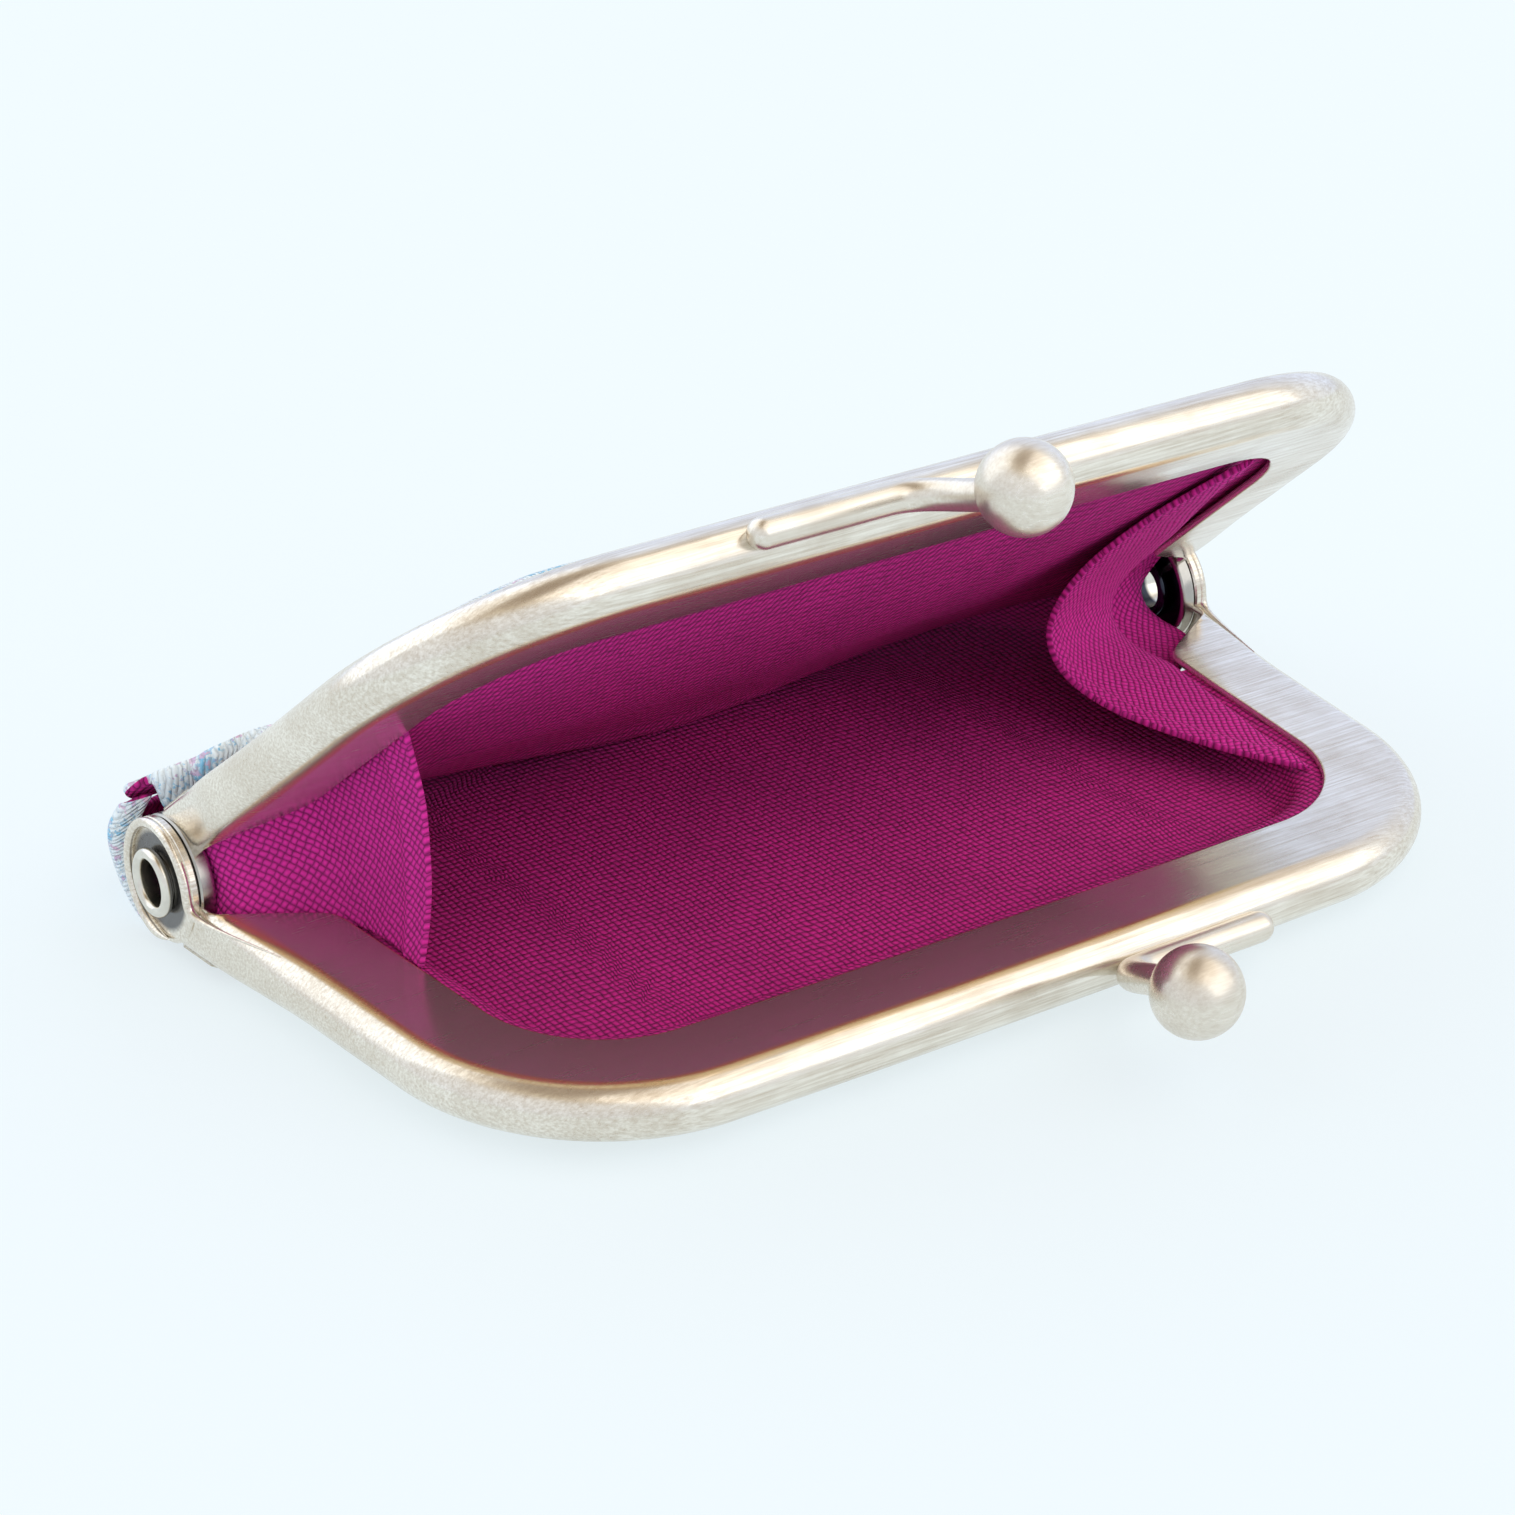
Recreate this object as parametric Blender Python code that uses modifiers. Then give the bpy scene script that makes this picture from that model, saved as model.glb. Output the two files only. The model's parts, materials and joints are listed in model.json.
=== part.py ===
"""Clasp purse: two hinged brass channel frames, a ball clasp and a lined cloth bag.

The hinge axis runs along X. The mouth looks towards -Y and the purse lies on its
lower half, with the upper half opened about the hinge. Z is zero where it rests.
"""

import math

import bmesh
import bpy
from mathutils import Matrix, Vector

mm = 0.001
degree = math.pi / 180

# Frame halves
mouth_half_width_at_hinge = 34.4 * mm
mouth_half_width_at_front = 31.55 * mm
mouth_depth = 31.6 * mm
mouth_corner_radius = 8.6 * mm
front_bow = 0.4 * mm
flat_width = 4.75 * mm
channel_height = 3.8 * mm
brass_thickness = 0.55 * mm
closed_gap = 0.3 * mm
opening_angle = 42.6 * degree
full_flat_distance = 9.0 * mm
flat_corner_round = 1.4 * mm

# Ears and rivets
ear_radius = 4.1 * mm
ear_thickness = 0.6 * mm
ear_lip_width = 0.6 * mm
ear_lip_height = 0.5 * mm
ear_play = 0.1 * mm
ear_parting_offset = 1.15 * mm
ear_neck_length = 4.6 * mm
ear_neck_tip = 1.6 * mm
ear_neck_thickness = 0.5 * mm
neck_seat_share = 0.8
rivet_bore_radius = 1.5 * mm
rivet_wall = 0.3 * mm
rivet_roll_radius = 0.38 * mm
running_clearance = 0.08 * mm

# Clasp
ball_diameter = 5.8 * mm
ball_offset = 2.98 * mm
ball_overhang = 8.65 * mm
ball_rise = 1.3 * mm
stem_diameter = 2.0 * mm
stem_end_offset = 16.4 * mm
stem_bend_offset = 6.6 * mm
stem_round_share = 0.28
stem_sink = 0.5 * mm
stem_socket_depth = 0.9 * mm
solder_gap = 0.15 * mm

# Cloth and cord
outer_cloth = 0.6 * mm
interlining_cloth = 0.5 * mm
lining_cloth = 0.45 * mm
layer_gap = 0.25 * mm
tuck_depth = 3.3 * mm
tuck_start = 11.0 * mm
cord_diameter = 1.9 * mm
turn_out = 0.6 * mm
turn_share = 0.5
end_pull = 0.3
end_column_share = 0.12
even_share = 0.5
ear_floor_gap = 0.2 * mm

# Bag
bag_overhang = 0.2 * mm
bag_back = 18.5 * mm
bag_outline_power = 1.35
seam_height_at_back = 3.05 * mm
seam_height_at_hinge = 8.3 * mm
seam_gap = 0.35 * mm
side_swell = 0.6 * mm
end_return = 1.6 * mm
end_return_depth = 0.7 * mm
landing_share = 0.5
landing_lift = 0.5 * mm
landing_power = 2.0
crossing_distance = 8.5 * mm
crossing_half_width = 30.0 * mm
crossing_power = 1.3
interlining_inset = 3.3 * mm
interlining_back = 15.4 * mm
lining_inset = 4.3 * mm
lining_back = 14.2 * mm
inner_rise_at_hinge = 1.2 * mm
inner_rise_at_back = 0.3 * mm
pocket_gap = 1.6 * mm

# How the rows up the bag's side share its width, front, back, two heights and end return
outer_wall_shares = (
    (0.94, -0.60, 0.76, 0.00, 0.00, 0.00),
    (1.00, 0.70, 0.92, 0.01, 0.12, 0.00),
    (1.01, 1.34, 0.98, 0.38, 0.45, 1.00),
    (1.015, 1.37, 1.00, 0.77, 0.78, 1.00),
    (1.00, 1.22, 1.01, 1.00, 1.00, 1.00),
)
inner_wall_shares = (
    (0.93, -1.45, 0.86, 0.00, 0.00, 0.00),
    (1.00, -0.95, 1.00, 1.00, 1.00, 0.00),
)

# Gussets
gusset_cloth = 0.45 * mm
gusset_inset = 0.5 * mm
gusset_ear_gap = 2.8 * mm
gusset_web_distance = 5.5 * mm
gusset_top = 0.5 * mm
gusset_back = 3.2 * mm
gusset_back_inset = 1.6 * mm
gusset_low_share = 0.55
gusset_fold_power = 1.5

# Hems below and above, as shares of the mouth's depth, and folds as shares of
# the mouth's front half width, its depth and its depth
left_hem_shares = (0.547, 0.671)
left_fold_shares = (0.986, 0.513, 0.209)
right_hem_shares = (0.870, 0.956)
right_fold_shares = (0.675, 0.323, 0.130)

# Shape quality
gusset_rows = 10
gusset_columns = 6
leg_columns = 3
cloth_corner_steps = 5
cloth_front_steps = 4
floor_rows = 2
top_rows = 2
roll_steps = 5
stem_steps = 10
corner_steps = 11
front_steps = 6
rim_steps = 9
round_sides = 24
merge_distance = 0.00001
overrun = 2.0 * mm

# Sizes that follow from the ones above
hinge_height = ear_radius + ear_floor_gap + outer_cloth
rim_radius = channel_height / 2
leg_slope = (mouth_half_width_at_hinge - mouth_half_width_at_front) / mouth_depth
leg_start = ear_radius + ear_lip_width
crest_offset = flat_width + rim_radius
ear_parting = mouth_half_width_at_hinge + flat_width + ear_parting_offset
ball_reach = mouth_depth + front_bow + crest_offset + ball_overhang
bag_half_width = ear_parting + bag_overhang
interlining_half_width = bag_half_width - interlining_inset
lining_half_width = bag_half_width - lining_inset
barrel_radius = rivet_bore_radius + rivet_wall
channel_room = channel_height - 2 * brass_thickness
layer_room = channel_room - outer_cloth - interlining_cloth - lining_cloth
tuck_gap = layer_room / 4
lining_level = closed_gap / 2 + brass_thickness + tuck_gap + lining_cloth / 2
interlining_level = lining_level + lining_cloth / 2 + tuck_gap + interlining_cloth / 2
outer_level = interlining_level + interlining_cloth / 2 + tuck_gap + outer_cloth / 2
outer_floor = outer_cloth / 2 - hinge_height
interlining_floor = outer_floor + outer_cloth / 2 + layer_gap + interlining_cloth / 2
lining_floor = interlining_floor + interlining_cloth / 2 + layer_gap + lining_cloth / 2


def new_collection(name):
    """Add an empty collection to the scene."""
    collection = bpy.data.collections.new(name)
    bpy.context.scene.collection.children.link(collection)
    return collection


def new_material(name, color, roughness, metallic):
    """Make a plain surface material."""
    material = bpy.data.materials.new(name)
    material.use_nodes = True
    shader = material.node_tree.nodes["Principled BSDF"]
    shader.inputs["Base Color"].default_value = (*color, 1)
    shader.inputs["Roughness"].default_value = roughness
    shader.inputs["Metallic"].default_value = metallic
    material.diffuse_color = (*color, 1)
    return material


def add_object(name, data, collection, material=None, parent=None):
    """Put a mesh or curve in a collection, with its material and parent."""
    obj = bpy.data.objects.new(name, data)
    collection.objects.link(obj)
    if material:
        data.materials.append(material)
    obj.parent = parent
    return obj


def add_cutter(name, data):
    """Put a cutting or joining shape in the cutters' collection."""
    obj = add_object(name, data, cutters)
    obj.hide_render = True
    obj.display_type = "WIRE"
    return obj


def curve_data(name, points, closed=False, flat=False):
    """Make a curve of straight pieces through the points."""
    curve = bpy.data.curves.new(name, "CURVE")
    curve.dimensions = "2D" if flat else "3D"
    curve.twist_mode = "Z_UP"
    spline = curve.splines.new("POLY")
    spline.points.add(len(points) - 1)
    for spline_point, point in zip(spline.points, points):
        spline_point.co = (*point, 1)
    spline.use_cyclic_u = closed
    return curve


def meshed(curve, matrix=Matrix()):
    """Turn curve data into a closed mesh and drop the curve."""
    obj = bpy.data.objects.new(curve.name, curve)
    bpy.context.scene.collection.objects.link(obj)
    graph = bpy.context.evaluated_depsgraph_get()
    mesh = bpy.data.meshes.new_from_object(obj.evaluated_get(graph))
    bpy.data.objects.remove(obj)
    bm = bmesh.new()
    bm.from_mesh(mesh)
    bmesh.ops.remove_doubles(bm, verts=bm.verts, dist=merge_distance)
    bmesh.ops.transform(bm, matrix=matrix, verts=bm.verts)
    bmesh.ops.recalc_face_normals(bm, faces=bm.faces)
    bm.to_mesh(mesh)
    bm.free()
    return mesh


def rod(name, points, diameter, sides_level=2):
    """A round bar along the points, as a closed mesh."""
    curve = curve_data(name, points)
    curve.bevel_depth = diameter / 2
    curve.bevel_resolution = sides_level
    curve.use_fill_caps = True
    return meshed(curve)


def plate(name, outline, thickness, matrix):
    """A flat outline given a thickness about its own plane."""
    curve = curve_data(name, [(x, y, 0) for x, y in outline], closed=True, flat=True)
    curve.fill_mode = "BOTH"
    curve.extrude = thickness / 2
    return meshed(curve, matrix)


def cylinder(name, radius, length, matrix):
    """A closed round bar centred on the matrix, along its Z."""
    mesh = bpy.data.meshes.new(name)
    bm = bmesh.new()
    bmesh.ops.create_cone(
        bm,
        cap_ends=True,
        segments=round_sides,
        radius1=radius,
        radius2=radius,
        depth=length,
        matrix=matrix,
    )
    bm.to_mesh(mesh)
    bm.free()
    return mesh


def combine(obj, other_mesh, operation):
    """Join a mesh to an object, or cut it out, with a Boolean modifier."""
    tool = add_cutter(other_mesh.name, other_mesh)
    tool.parent = obj.parent
    modifier = obj.modifiers.new(other_mesh.name, "BOOLEAN")
    modifier.operation = operation
    modifier.object = tool
    modifier.solver = "EXACT"


def shade(obj, sharp_angle=40 * degree):
    """Smooth a round piece and keep its real edges sharp."""
    obj.data.shade_smooth()
    obj.data.set_sharp_from_angle(angle=sharp_angle)


def mouth_stations(start, leg_steps, corner_count=corner_steps, front_count=front_steps):
    """Points and outward directions along a mouth's inner edge, left to right.

    The edge runs down the left leg from the given distance to the hinge line,
    round the front corner, across the bowed front and back up the right leg.
    """
    leg = Vector((leg_slope, 1)).normalized()
    corner = Vector((mouth_half_width_at_front, -mouth_depth))
    half_turn = leg.angle(Vector((-1, 0))) / 2
    tangent = mouth_corner_radius / math.tan(half_turn)
    turn = math.pi - 2 * half_turn
    leg_top = corner + leg * (mouth_depth - start) / leg.y
    leg_foot = corner + leg * tangent
    centre = leg_foot + Vector((-leg.y, leg.x)) * mouth_corner_radius
    half = [leg_top.lerp(leg_foot, step / leg_steps) for step in range(leg_steps)]
    for step in range(corner_count + 1):
        arm = leg_foot - centre
        arm.rotate(Matrix.Rotation(-turn * step / corner_count, 2))
        half.append(centre + arm)
    front = half[-1]
    for step in range(1, front_count // 2 + 1):
        half.append(front.lerp(Vector((0, front.y)), 2 * step / front_count))
    for point in half:
        reach = min(point.x / mouth_half_width_at_front, 1)
        point.y -= front_bow * (1 - reach**2)
    left = [Vector((-point.x, point.y)) for point in half[:-1]]
    points = left + half[::-1]
    stations = []
    for index, point in enumerate(points):
        before = points[max(index - 1, 0)]
        after = points[min(index + 1, len(points) - 1)]
        along = (after - before).normalized()
        stations.append((point, Vector((along.y, -along.x))))
    return stations


def mouth_line(start, offset, depth, leg_steps=2):
    """A line beside the mouth's edge, moved outwards and off the parting plane."""
    line = []
    for point, outward in mouth_stations(start, leg_steps):
        place = point + outward * offset
        line.append(Vector((place.x, place.y, depth)))
    return line


def arc(centre, radius, first, last, steps):
    """Points along an arc in a plane, from the first to the last angle."""
    points = []
    for step in range(steps + 1):
        angle = first + (last - first) * step / steps
        points.append((centre[0] + radius * math.cos(angle), centre[1] + radius * math.sin(angle)))
    return points


def channel_section(side):
    """The bent sheet's outline: two flat walls joined by a half-round rim."""
    near = closed_gap / 2
    middle = near + rim_radius
    far = near + channel_height
    quarter = math.pi / 2
    outer = arc((flat_width, middle), rim_radius, -quarter, quarter, rim_steps)
    inner = arc((flat_width, middle), rim_radius - brass_thickness, quarter, -quarter, rim_steps)
    section = [(0, near), *outer, (0, far), (0, far - brass_thickness), *inner]
    section.append((0, near + brass_thickness))
    return [(u, side * depth, 0) for u, depth in section]


def side_matrix(x_side, x):
    """Stands a flat outline up in the YZ plane at the given distance from the middle."""
    turn = Matrix(((0, 0, 1), (1, 0, 0), (0, 1, 0))).to_4x4()
    return Matrix.Translation((x_side * x, 0, 0)) @ turn


def neck_outlines():
    """The strip that carries an ear and its tapered tip along the leg, as (y, z)."""
    near = closed_gap / 2
    far = near + channel_height
    low = near + rim_radius - ear_neck_tip / 2
    high = low + ear_neck_tip
    strip = [(-leg_start, near), (0, near), (0, far), (-leg_start, far)]
    tip = [(-ear_neck_length, low), (ear_play / 2, near), (ear_play / 2, far), (-ear_neck_length, high)]
    return strip, tip


def flat_end_outline():
    """What is cut away between the hinge and the full-width flat, as (x, y)."""
    web = Vector((ear_parting - ear_thickness, -leg_start))
    corner = Vector((mouth_half_width_at_hinge - leg_slope * full_flat_distance, -full_flat_distance))
    entry = corner + (web - corner).normalized() * flat_corner_round
    leave = corner + Vector((-leg_slope, -1)).normalized() * flat_corner_round
    outline = [web]
    for step in range(corner_steps // 2 + 1):
        share = 2 * step / corner_steps
        outline.append(entry.lerp(corner, share).lerp(corner.lerp(leave, share), share))
    outline += [leave - Vector((overrun, 0)), Vector((leave.x - overrun, overrun))]
    outline.append(Vector((web.x, overrun)))
    return outline


def both_sides(mesh):
    """Add the mirror image across the middle to a closed shape."""
    bm = bmesh.new()
    bm.from_mesh(mesh)
    copied = bmesh.ops.duplicate(bm, geom=bm.verts[:] + bm.edges[:] + bm.faces[:])["geom"]
    copied_verts = [item for item in copied if isinstance(item, bmesh.types.BMVert)]
    bmesh.ops.transform(bm, matrix=Matrix.Scale(-1, 4, (1, 0, 0)), verts=copied_verts)
    bmesh.ops.recalc_face_normals(bm, faces=bm.faces)
    bm.to_mesh(mesh)
    bm.free()
    return mesh


def make_frame(name, side, parent):
    """One half of the frame, with its channel, its two ears and their bores.

    side is -1 for the half below the parting plane and 1 for the half above it.
    """
    profile = curve_data(name + "_section", channel_section(side), closed=True, flat=True)
    section = add_cutter(name + "_section", profile)
    path = curve_data(name, mouth_line(leg_start, 0, 0))
    path.bevel_mode = "OBJECT"
    path.bevel_object = section
    path.use_fill_caps = True
    frame = add_object(name, meshed(path), parts, brass, parent)
    bpy.data.objects.remove(section)

    flip = Matrix.Scale(side, 4, (0, 0, 1))
    outline = [(point.x, point.y) for point in flat_end_outline()]
    tall = 2 * (channel_height + overrun)
    flat_end = plate(name + "_flat_end", outline, tall, Matrix())
    combine(frame, both_sides(flat_end), "DIFFERENCE")

    outwards = -side
    face = ear_parting + outwards * ear_play / 2
    full = ear_thickness + ear_lip_height
    neck_x = face + outwards * ear_thickness / 2
    strip, tip = neck_outlines()
    neck = plate(name + "_neck", strip, ear_neck_thickness, flip @ side_matrix(1, neck_x))
    combine(frame, both_sides(neck), "UNION")
    crest = mouth_half_width_at_hinge - leg_slope * (leg_start + ear_neck_length) + crest_offset
    lean = math.atan2(neck_x + ear_neck_thickness / 2 - crest, ear_neck_length)
    lean = max(lean, math.atan(leg_slope))
    turn = Matrix.Translation((neck_x, -leg_start, 0)) @ Matrix.Rotation(-lean, 4, "Z")
    neck_tip = plate(name + "_neck_tip", tip, ear_neck_thickness, flip @ turn @ side_matrix(1, 0))
    combine(frame, both_sides(neck_tip), "UNION")
    seat = bpy.data.meshes.new(name + "_seat")
    bm = bmesh.new()
    bmesh.ops.create_cube(bm, size=1, matrix=flip @ neck_seat_matrix())
    bmesh.ops.recalc_face_normals(bm, faces=bm.faces)
    bm.to_mesh(seat)
    bm.free()
    combine(frame, both_sides(seat), "UNION")
    disc_matrix = axle_matrix(face + outwards * full / 2)
    combine(frame, both_sides(cylinder(name + "_disc", ear_radius, full, disc_matrix)), "UNION")
    recess_depth = ear_lip_height + overrun
    recess_matrix = axle_matrix(face + outwards * (ear_thickness + recess_depth / 2))
    recess = cylinder(name + "_recess", ear_radius - ear_lip_width, recess_depth, recess_matrix)
    combine(frame, both_sides(recess), "DIFFERENCE")
    bore_radius = barrel_radius + running_clearance
    bore = cylinder(name + "_bore", bore_radius, 2 * full + overrun, axle_matrix(face))
    combine(frame, both_sides(bore), "DIFFERENCE")
    shade(frame)
    return frame


def axle_matrix(x):
    """Turns a shape's Z onto the hinge axis, at a distance from the middle."""
    return Matrix.Translation((x, 0, 0)) @ Matrix.Rotation(math.pi / 2, 4, "Y")


def neck_seat_matrix():
    """Sizes a unit cube to the block inside the rim that the ear's neck is joined to."""
    inner = ear_parting - ear_play / 2 - ear_thickness / 2
    outer = mouth_half_width_at_hinge - leg_slope * leg_start + crest_offset - brass_thickness / 2
    length = ear_neck_length * neck_seat_share
    middle = (closed_gap + channel_height) / 2
    centre = Vector(((inner + outer) / 2, -leg_start - length / 2 - merge_distance, middle))
    size = Vector((outer - inner, length, ear_neck_tip * neck_seat_share))
    return Matrix.LocRotScale(centre, None, size)


def rivet_profile():
    """The tubular rivet's wall and its two rolled ends, as (radius, place along it)."""
    roll_centre = rivet_bore_radius + rivet_roll_radius
    ears = ear_thickness + ear_play / 2 + solder_gap
    top = ears + rivet_roll_radius
    quarter = math.pi / 2
    tuck = math.acos((barrel_radius - roll_centre) / rivet_roll_radius)
    upper = arc((roll_centre, top), rivet_roll_radius, 2 * quarter, -tuck, roll_steps)
    lower = arc((roll_centre, -top), rivet_roll_radius, tuck, -2 * quarter, roll_steps)
    return upper + lower


def make_rivet(name, x_side):
    """A tubular rivet turned about the hinge axis."""
    mesh = bpy.data.meshes.new(name)
    bm = bmesh.new()
    ring = [bm.verts.new((radius, 0, height)) for radius, height in rivet_profile()]
    for first, second in zip(ring, ring[1:] + ring[:1]):
        bm.edges.new((first, second))
    bm.to_mesh(mesh)
    bm.free()
    rivet = add_object(name, mesh, parts, rivet_brass, lower_half)
    rivet.location = (x_side * ear_parting, 0, 0)
    rivet.rotation_euler = (0, math.pi / 2, 0)
    turn = rivet.modifiers.new("turned", "SCREW")
    turn.angle = 2 * math.pi
    turn.steps = round_sides
    turn.render_steps = round_sides
    turn.use_merge_vertices = True
    turn.merge_threshold = merge_distance
    turn.use_smooth_shade = True
    return rivet


def stem_points():
    """The lower clasp stem's middle line, from its soldered end to the ball."""
    crest = mouth_depth + front_bow + crest_offset
    line_y = -(crest + stem_diameter / 2 - stem_sink)
    line_z = -(closed_gap + channel_height) / 2
    ball = Vector((ball_offset, -ball_reach, ball_rise))
    start = Vector((stem_end_offset, line_y, line_z))
    bend = Vector((stem_bend_offset, line_y, line_z))
    turn = Vector((ball_offset, line_y, line_z))
    rise = Vector((ball_offset, (line_y - ball_reach) / 2, ball_rise / 2))
    reach = ball_diameter / 2 - stem_socket_depth
    end = ball + (rise - ball).normalized() * reach
    points = [start]
    for step in range(stem_steps + 1):
        share = step / stem_steps
        first = bend.lerp(turn, share).lerp(turn.lerp(rise, share), share)
        second = turn.lerp(rise, share).lerp(rise.lerp(end, share), share)
        points.append(first.lerp(second, share))
    return points, ball


def make_clasp(half_name, parent, turn):
    """The bent stem that is soldered to the rim, and the ball on its end."""
    points, ball = stem_points()
    stem_mesh = rod(half_name + "_clasp_stem", points, stem_diameter)
    stem_mesh.transform(turn)
    stem = add_object(half_name + "_clasp_stem", stem_mesh, parts, brass, parent)
    rounding = stem.modifiers.new("rounded_end", "BEVEL")
    rounding.width = stem_diameter * stem_round_share
    rounding.segments = 2
    rounding.limit_method = "ANGLE"
    rounding.angle_limit = 70 * degree
    seat_line = mouth_line(tuck_start, flat_width, -(closed_gap + channel_height) / 2)
    seat_size = channel_height + 2 * solder_gap
    seat = rod(half_name + "_stem_seat", seat_line, seat_size, round_sides // 4)
    seat.transform(turn)
    combine(stem, seat, "DIFFERENCE")
    shade(stem, 50 * degree)

    mesh = bpy.data.meshes.new(half_name + "_clasp_ball")
    bm = bmesh.new()
    rings = round_sides // 2
    bmesh.ops.create_uvsphere(
        bm,
        u_segments=round_sides,
        v_segments=rings,
        radius=ball_diameter / 2,
        matrix=turn @ Matrix.Translation(ball),
    )
    bm.to_mesh(mesh)
    bm.free()
    ball_object = add_object(half_name + "_clasp_ball", mesh, parts, brass, parent)
    way = (points[-2] - ball).normalized()
    length = stem_socket_depth + overrun
    start = ball_diameter / 2 - stem_socket_depth - solder_gap
    place = Matrix.Translation(ball + way * (start + length / 2))
    aim = way.to_track_quat("Z", "X").to_matrix().to_4x4()
    socket_radius = stem_diameter / 2 + solder_gap
    socket = cylinder(half_name + "_ball_socket", socket_radius, length, turn @ place @ aim)
    combine(ball_object, socket, "DIFFERENCE")
    shade(ball_object)


def make_cord(half_name, side, parent):
    """The paper cord that is pressed into the rim behind the cloth's edge."""
    depth = side * (closed_gap + channel_height) / 2
    mesh = rod(half_name + "_paper_cord", mouth_line(tuck_start, flat_width, depth), cord_diameter)
    shade(add_object(half_name + "_paper_cord", mesh, parts, paper, parent))


def sheet_object(name, rows, thickness, material):
    """A cloth sheet through rows of points, thickened about its middle."""
    mesh = bpy.data.meshes.new(name)
    bm = bmesh.new()
    across = len(rows[0]) - 1
    along = len(rows) - 1
    bmesh.ops.create_grid(bm, x_segments=across, y_segments=along, size=1)
    for vertex in bm.verts:
        column = round((vertex.co.x + 1) / 2 * across)
        row = round((vertex.co.y + 1) / 2 * along)
        vertex.co = rows[row][column]
    bm.to_mesh(mesh)
    bm.free()
    sheet = add_object(name, mesh, parts, material, hinge_line)
    solid = sheet.modifiers.new("thickness", "SOLIDIFY")
    solid.thickness = thickness
    solid.offset = 0
    shade(sheet, 60 * degree)
    return sheet


def station_shares(stations):
    """A share from 0 at the left to 1 at the right, part by length and part by number."""
    lengths = [0.0]
    for (before, _), (after, _) in zip(stations, stations[1:]):
        lengths.append(lengths[-1] + (after - before).length)
    last = len(stations) - 1
    shares = []
    for index, length in enumerate(lengths):
        shares.append(even_share * index / last + (1 - even_share) * length / lengths[-1])
    return shares


def bag_edge(half_width, front, back, hinge_z, back_z, share):
    """A point of the bag's rounded outline, which is lowest at the back."""
    angle = math.pi * share
    depth_share = math.sin(angle) ** bag_outline_power
    hinge_share = (1 - math.sin(angle)) ** 2
    return Vector((
        -half_width * math.cos(angle),
        front + (back - front) * depth_share,
        back_z + (hinge_z - back_z) * hinge_share,
    ))


def opened(point):
    """Carries a point of the closed upper half to where it lies when open."""
    return Matrix.Rotation(-opening_angle, 3, "X") @ point


def mouth_rows(stations, side, steps):
    """Rows beside the mouth's edge, from (offset outwards, distance off the plane)."""
    rows = []
    for offset, level in steps:
        row = []
        for point, outward in stations:
            place = point + outward * offset
            spot = Vector((place.x, place.y, side * level))
            row.append(opened(spot) if side > 0 else spot)
        rows.append(row)
    return rows


def wall_rows(shares, table, layer_width, layer_front, layer_back, floor, hinge_rise, back_rise):
    """Rows up the bag's side, from a table of shares of the layer's own sizes."""
    rows = []
    for width, front, back, hinge_up, back_up, turned in table:
        hinge_z = floor + hinge_rise * hinge_up
        back_z = floor + back_rise * back_up
        edge = (layer_width * width, layer_front * front, layer_back * back, hinge_z, back_z)
        rows.append(ends_turned([bag_edge(*edge, share) for share in shares], turned))
    return rows


def ends_turned(row, share):
    """Turns a row's two ends in behind the ears."""
    inwards = Vector((end_return, -end_return_depth, 0)) * share
    row[0] += inwards
    row[-1] += Vector((-inwards.x, inwards.y, 0))
    return row


def rows_between(first, last, count, swell=0.0, shares=()):
    """Rows that run evenly from one row to another, swollen at the sides midway."""
    rows = []
    for step in range(1, count + 1):
        way = step / (count + 1)
        arch = 4 * way * (1 - way)
        row = []
        for index, (start, end) in enumerate(zip(first, last)):
            point = start.lerp(end, way)
            if swell:
                middle = math.sin(math.pi * shares[index])
                point.x += math.copysign(swell * arch * (1 - middle) ** 2, point.x)
            row.append(point)
        rows.append(row)
    return rows


def cloth_stations():
    """Where the cloth's columns leave the mouth, and how far round the bag each one ends."""
    stations = mouth_stations(tuck_start, leg_columns, cloth_corner_steps, cloth_front_steps)
    for end, neighbour, place in ((0, 1, 1), (-1, -2, -1)):
        point, outward = stations[end]
        step = point.lerp(stations[neighbour][0], end_column_share)
        stations.insert(place, (step, outward))
    return stations, station_shares(stations)


def crossing_row(first, last, shares, side, level):
    """A row straight across the bag, just in front of the hinge line."""
    row = []
    for share in shares:
        away = 1 - 2 * share
        x = -math.copysign(crossing_half_width * abs(away) ** crossing_power, away)
        spot = Vector((x, -crossing_distance, side * level))
        row.append(opened(spot) if side > 0 else spot)
    row[0] = first[0].lerp(last[0], 0.5)
    row[-1] = first[-1].lerp(last[-1], 0.5)
    return row


def make_lower_panel(name, level, floor, thickness, material, wall, sizes):
    """A cloth layer from the lower channel, over the floor and up the bag's side."""
    stations, shares = cloth_stations()
    turn = turn_out + (outer_level - level) * turn_share
    drop = (level - floor) / 2
    steps = [
        (tuck_depth, level),
        (-turn, level),
        (-turn - turn_out, drop),
        (-turn - 3 * turn_out, -floor),
    ]
    mouth = mouth_rows(stations, -1, steps)
    side = wall_rows(shares, wall, *sizes)
    crossing = crossing_row(mouth[-1], side[0], shares, -1, -floor)
    for end in (0, -1):
        corner = mouth[-2][end].lerp(crossing[end], end_pull)
        mouth[-1][end] = Vector((corner.x, corner.y, floor))
    front = rows_between(mouth[-1], crossing, floor_rows)
    back = rows_between(crossing, side[0], floor_rows)
    sheet_object(name, mouth + front + [crossing] + back + side, thickness, material)


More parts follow.
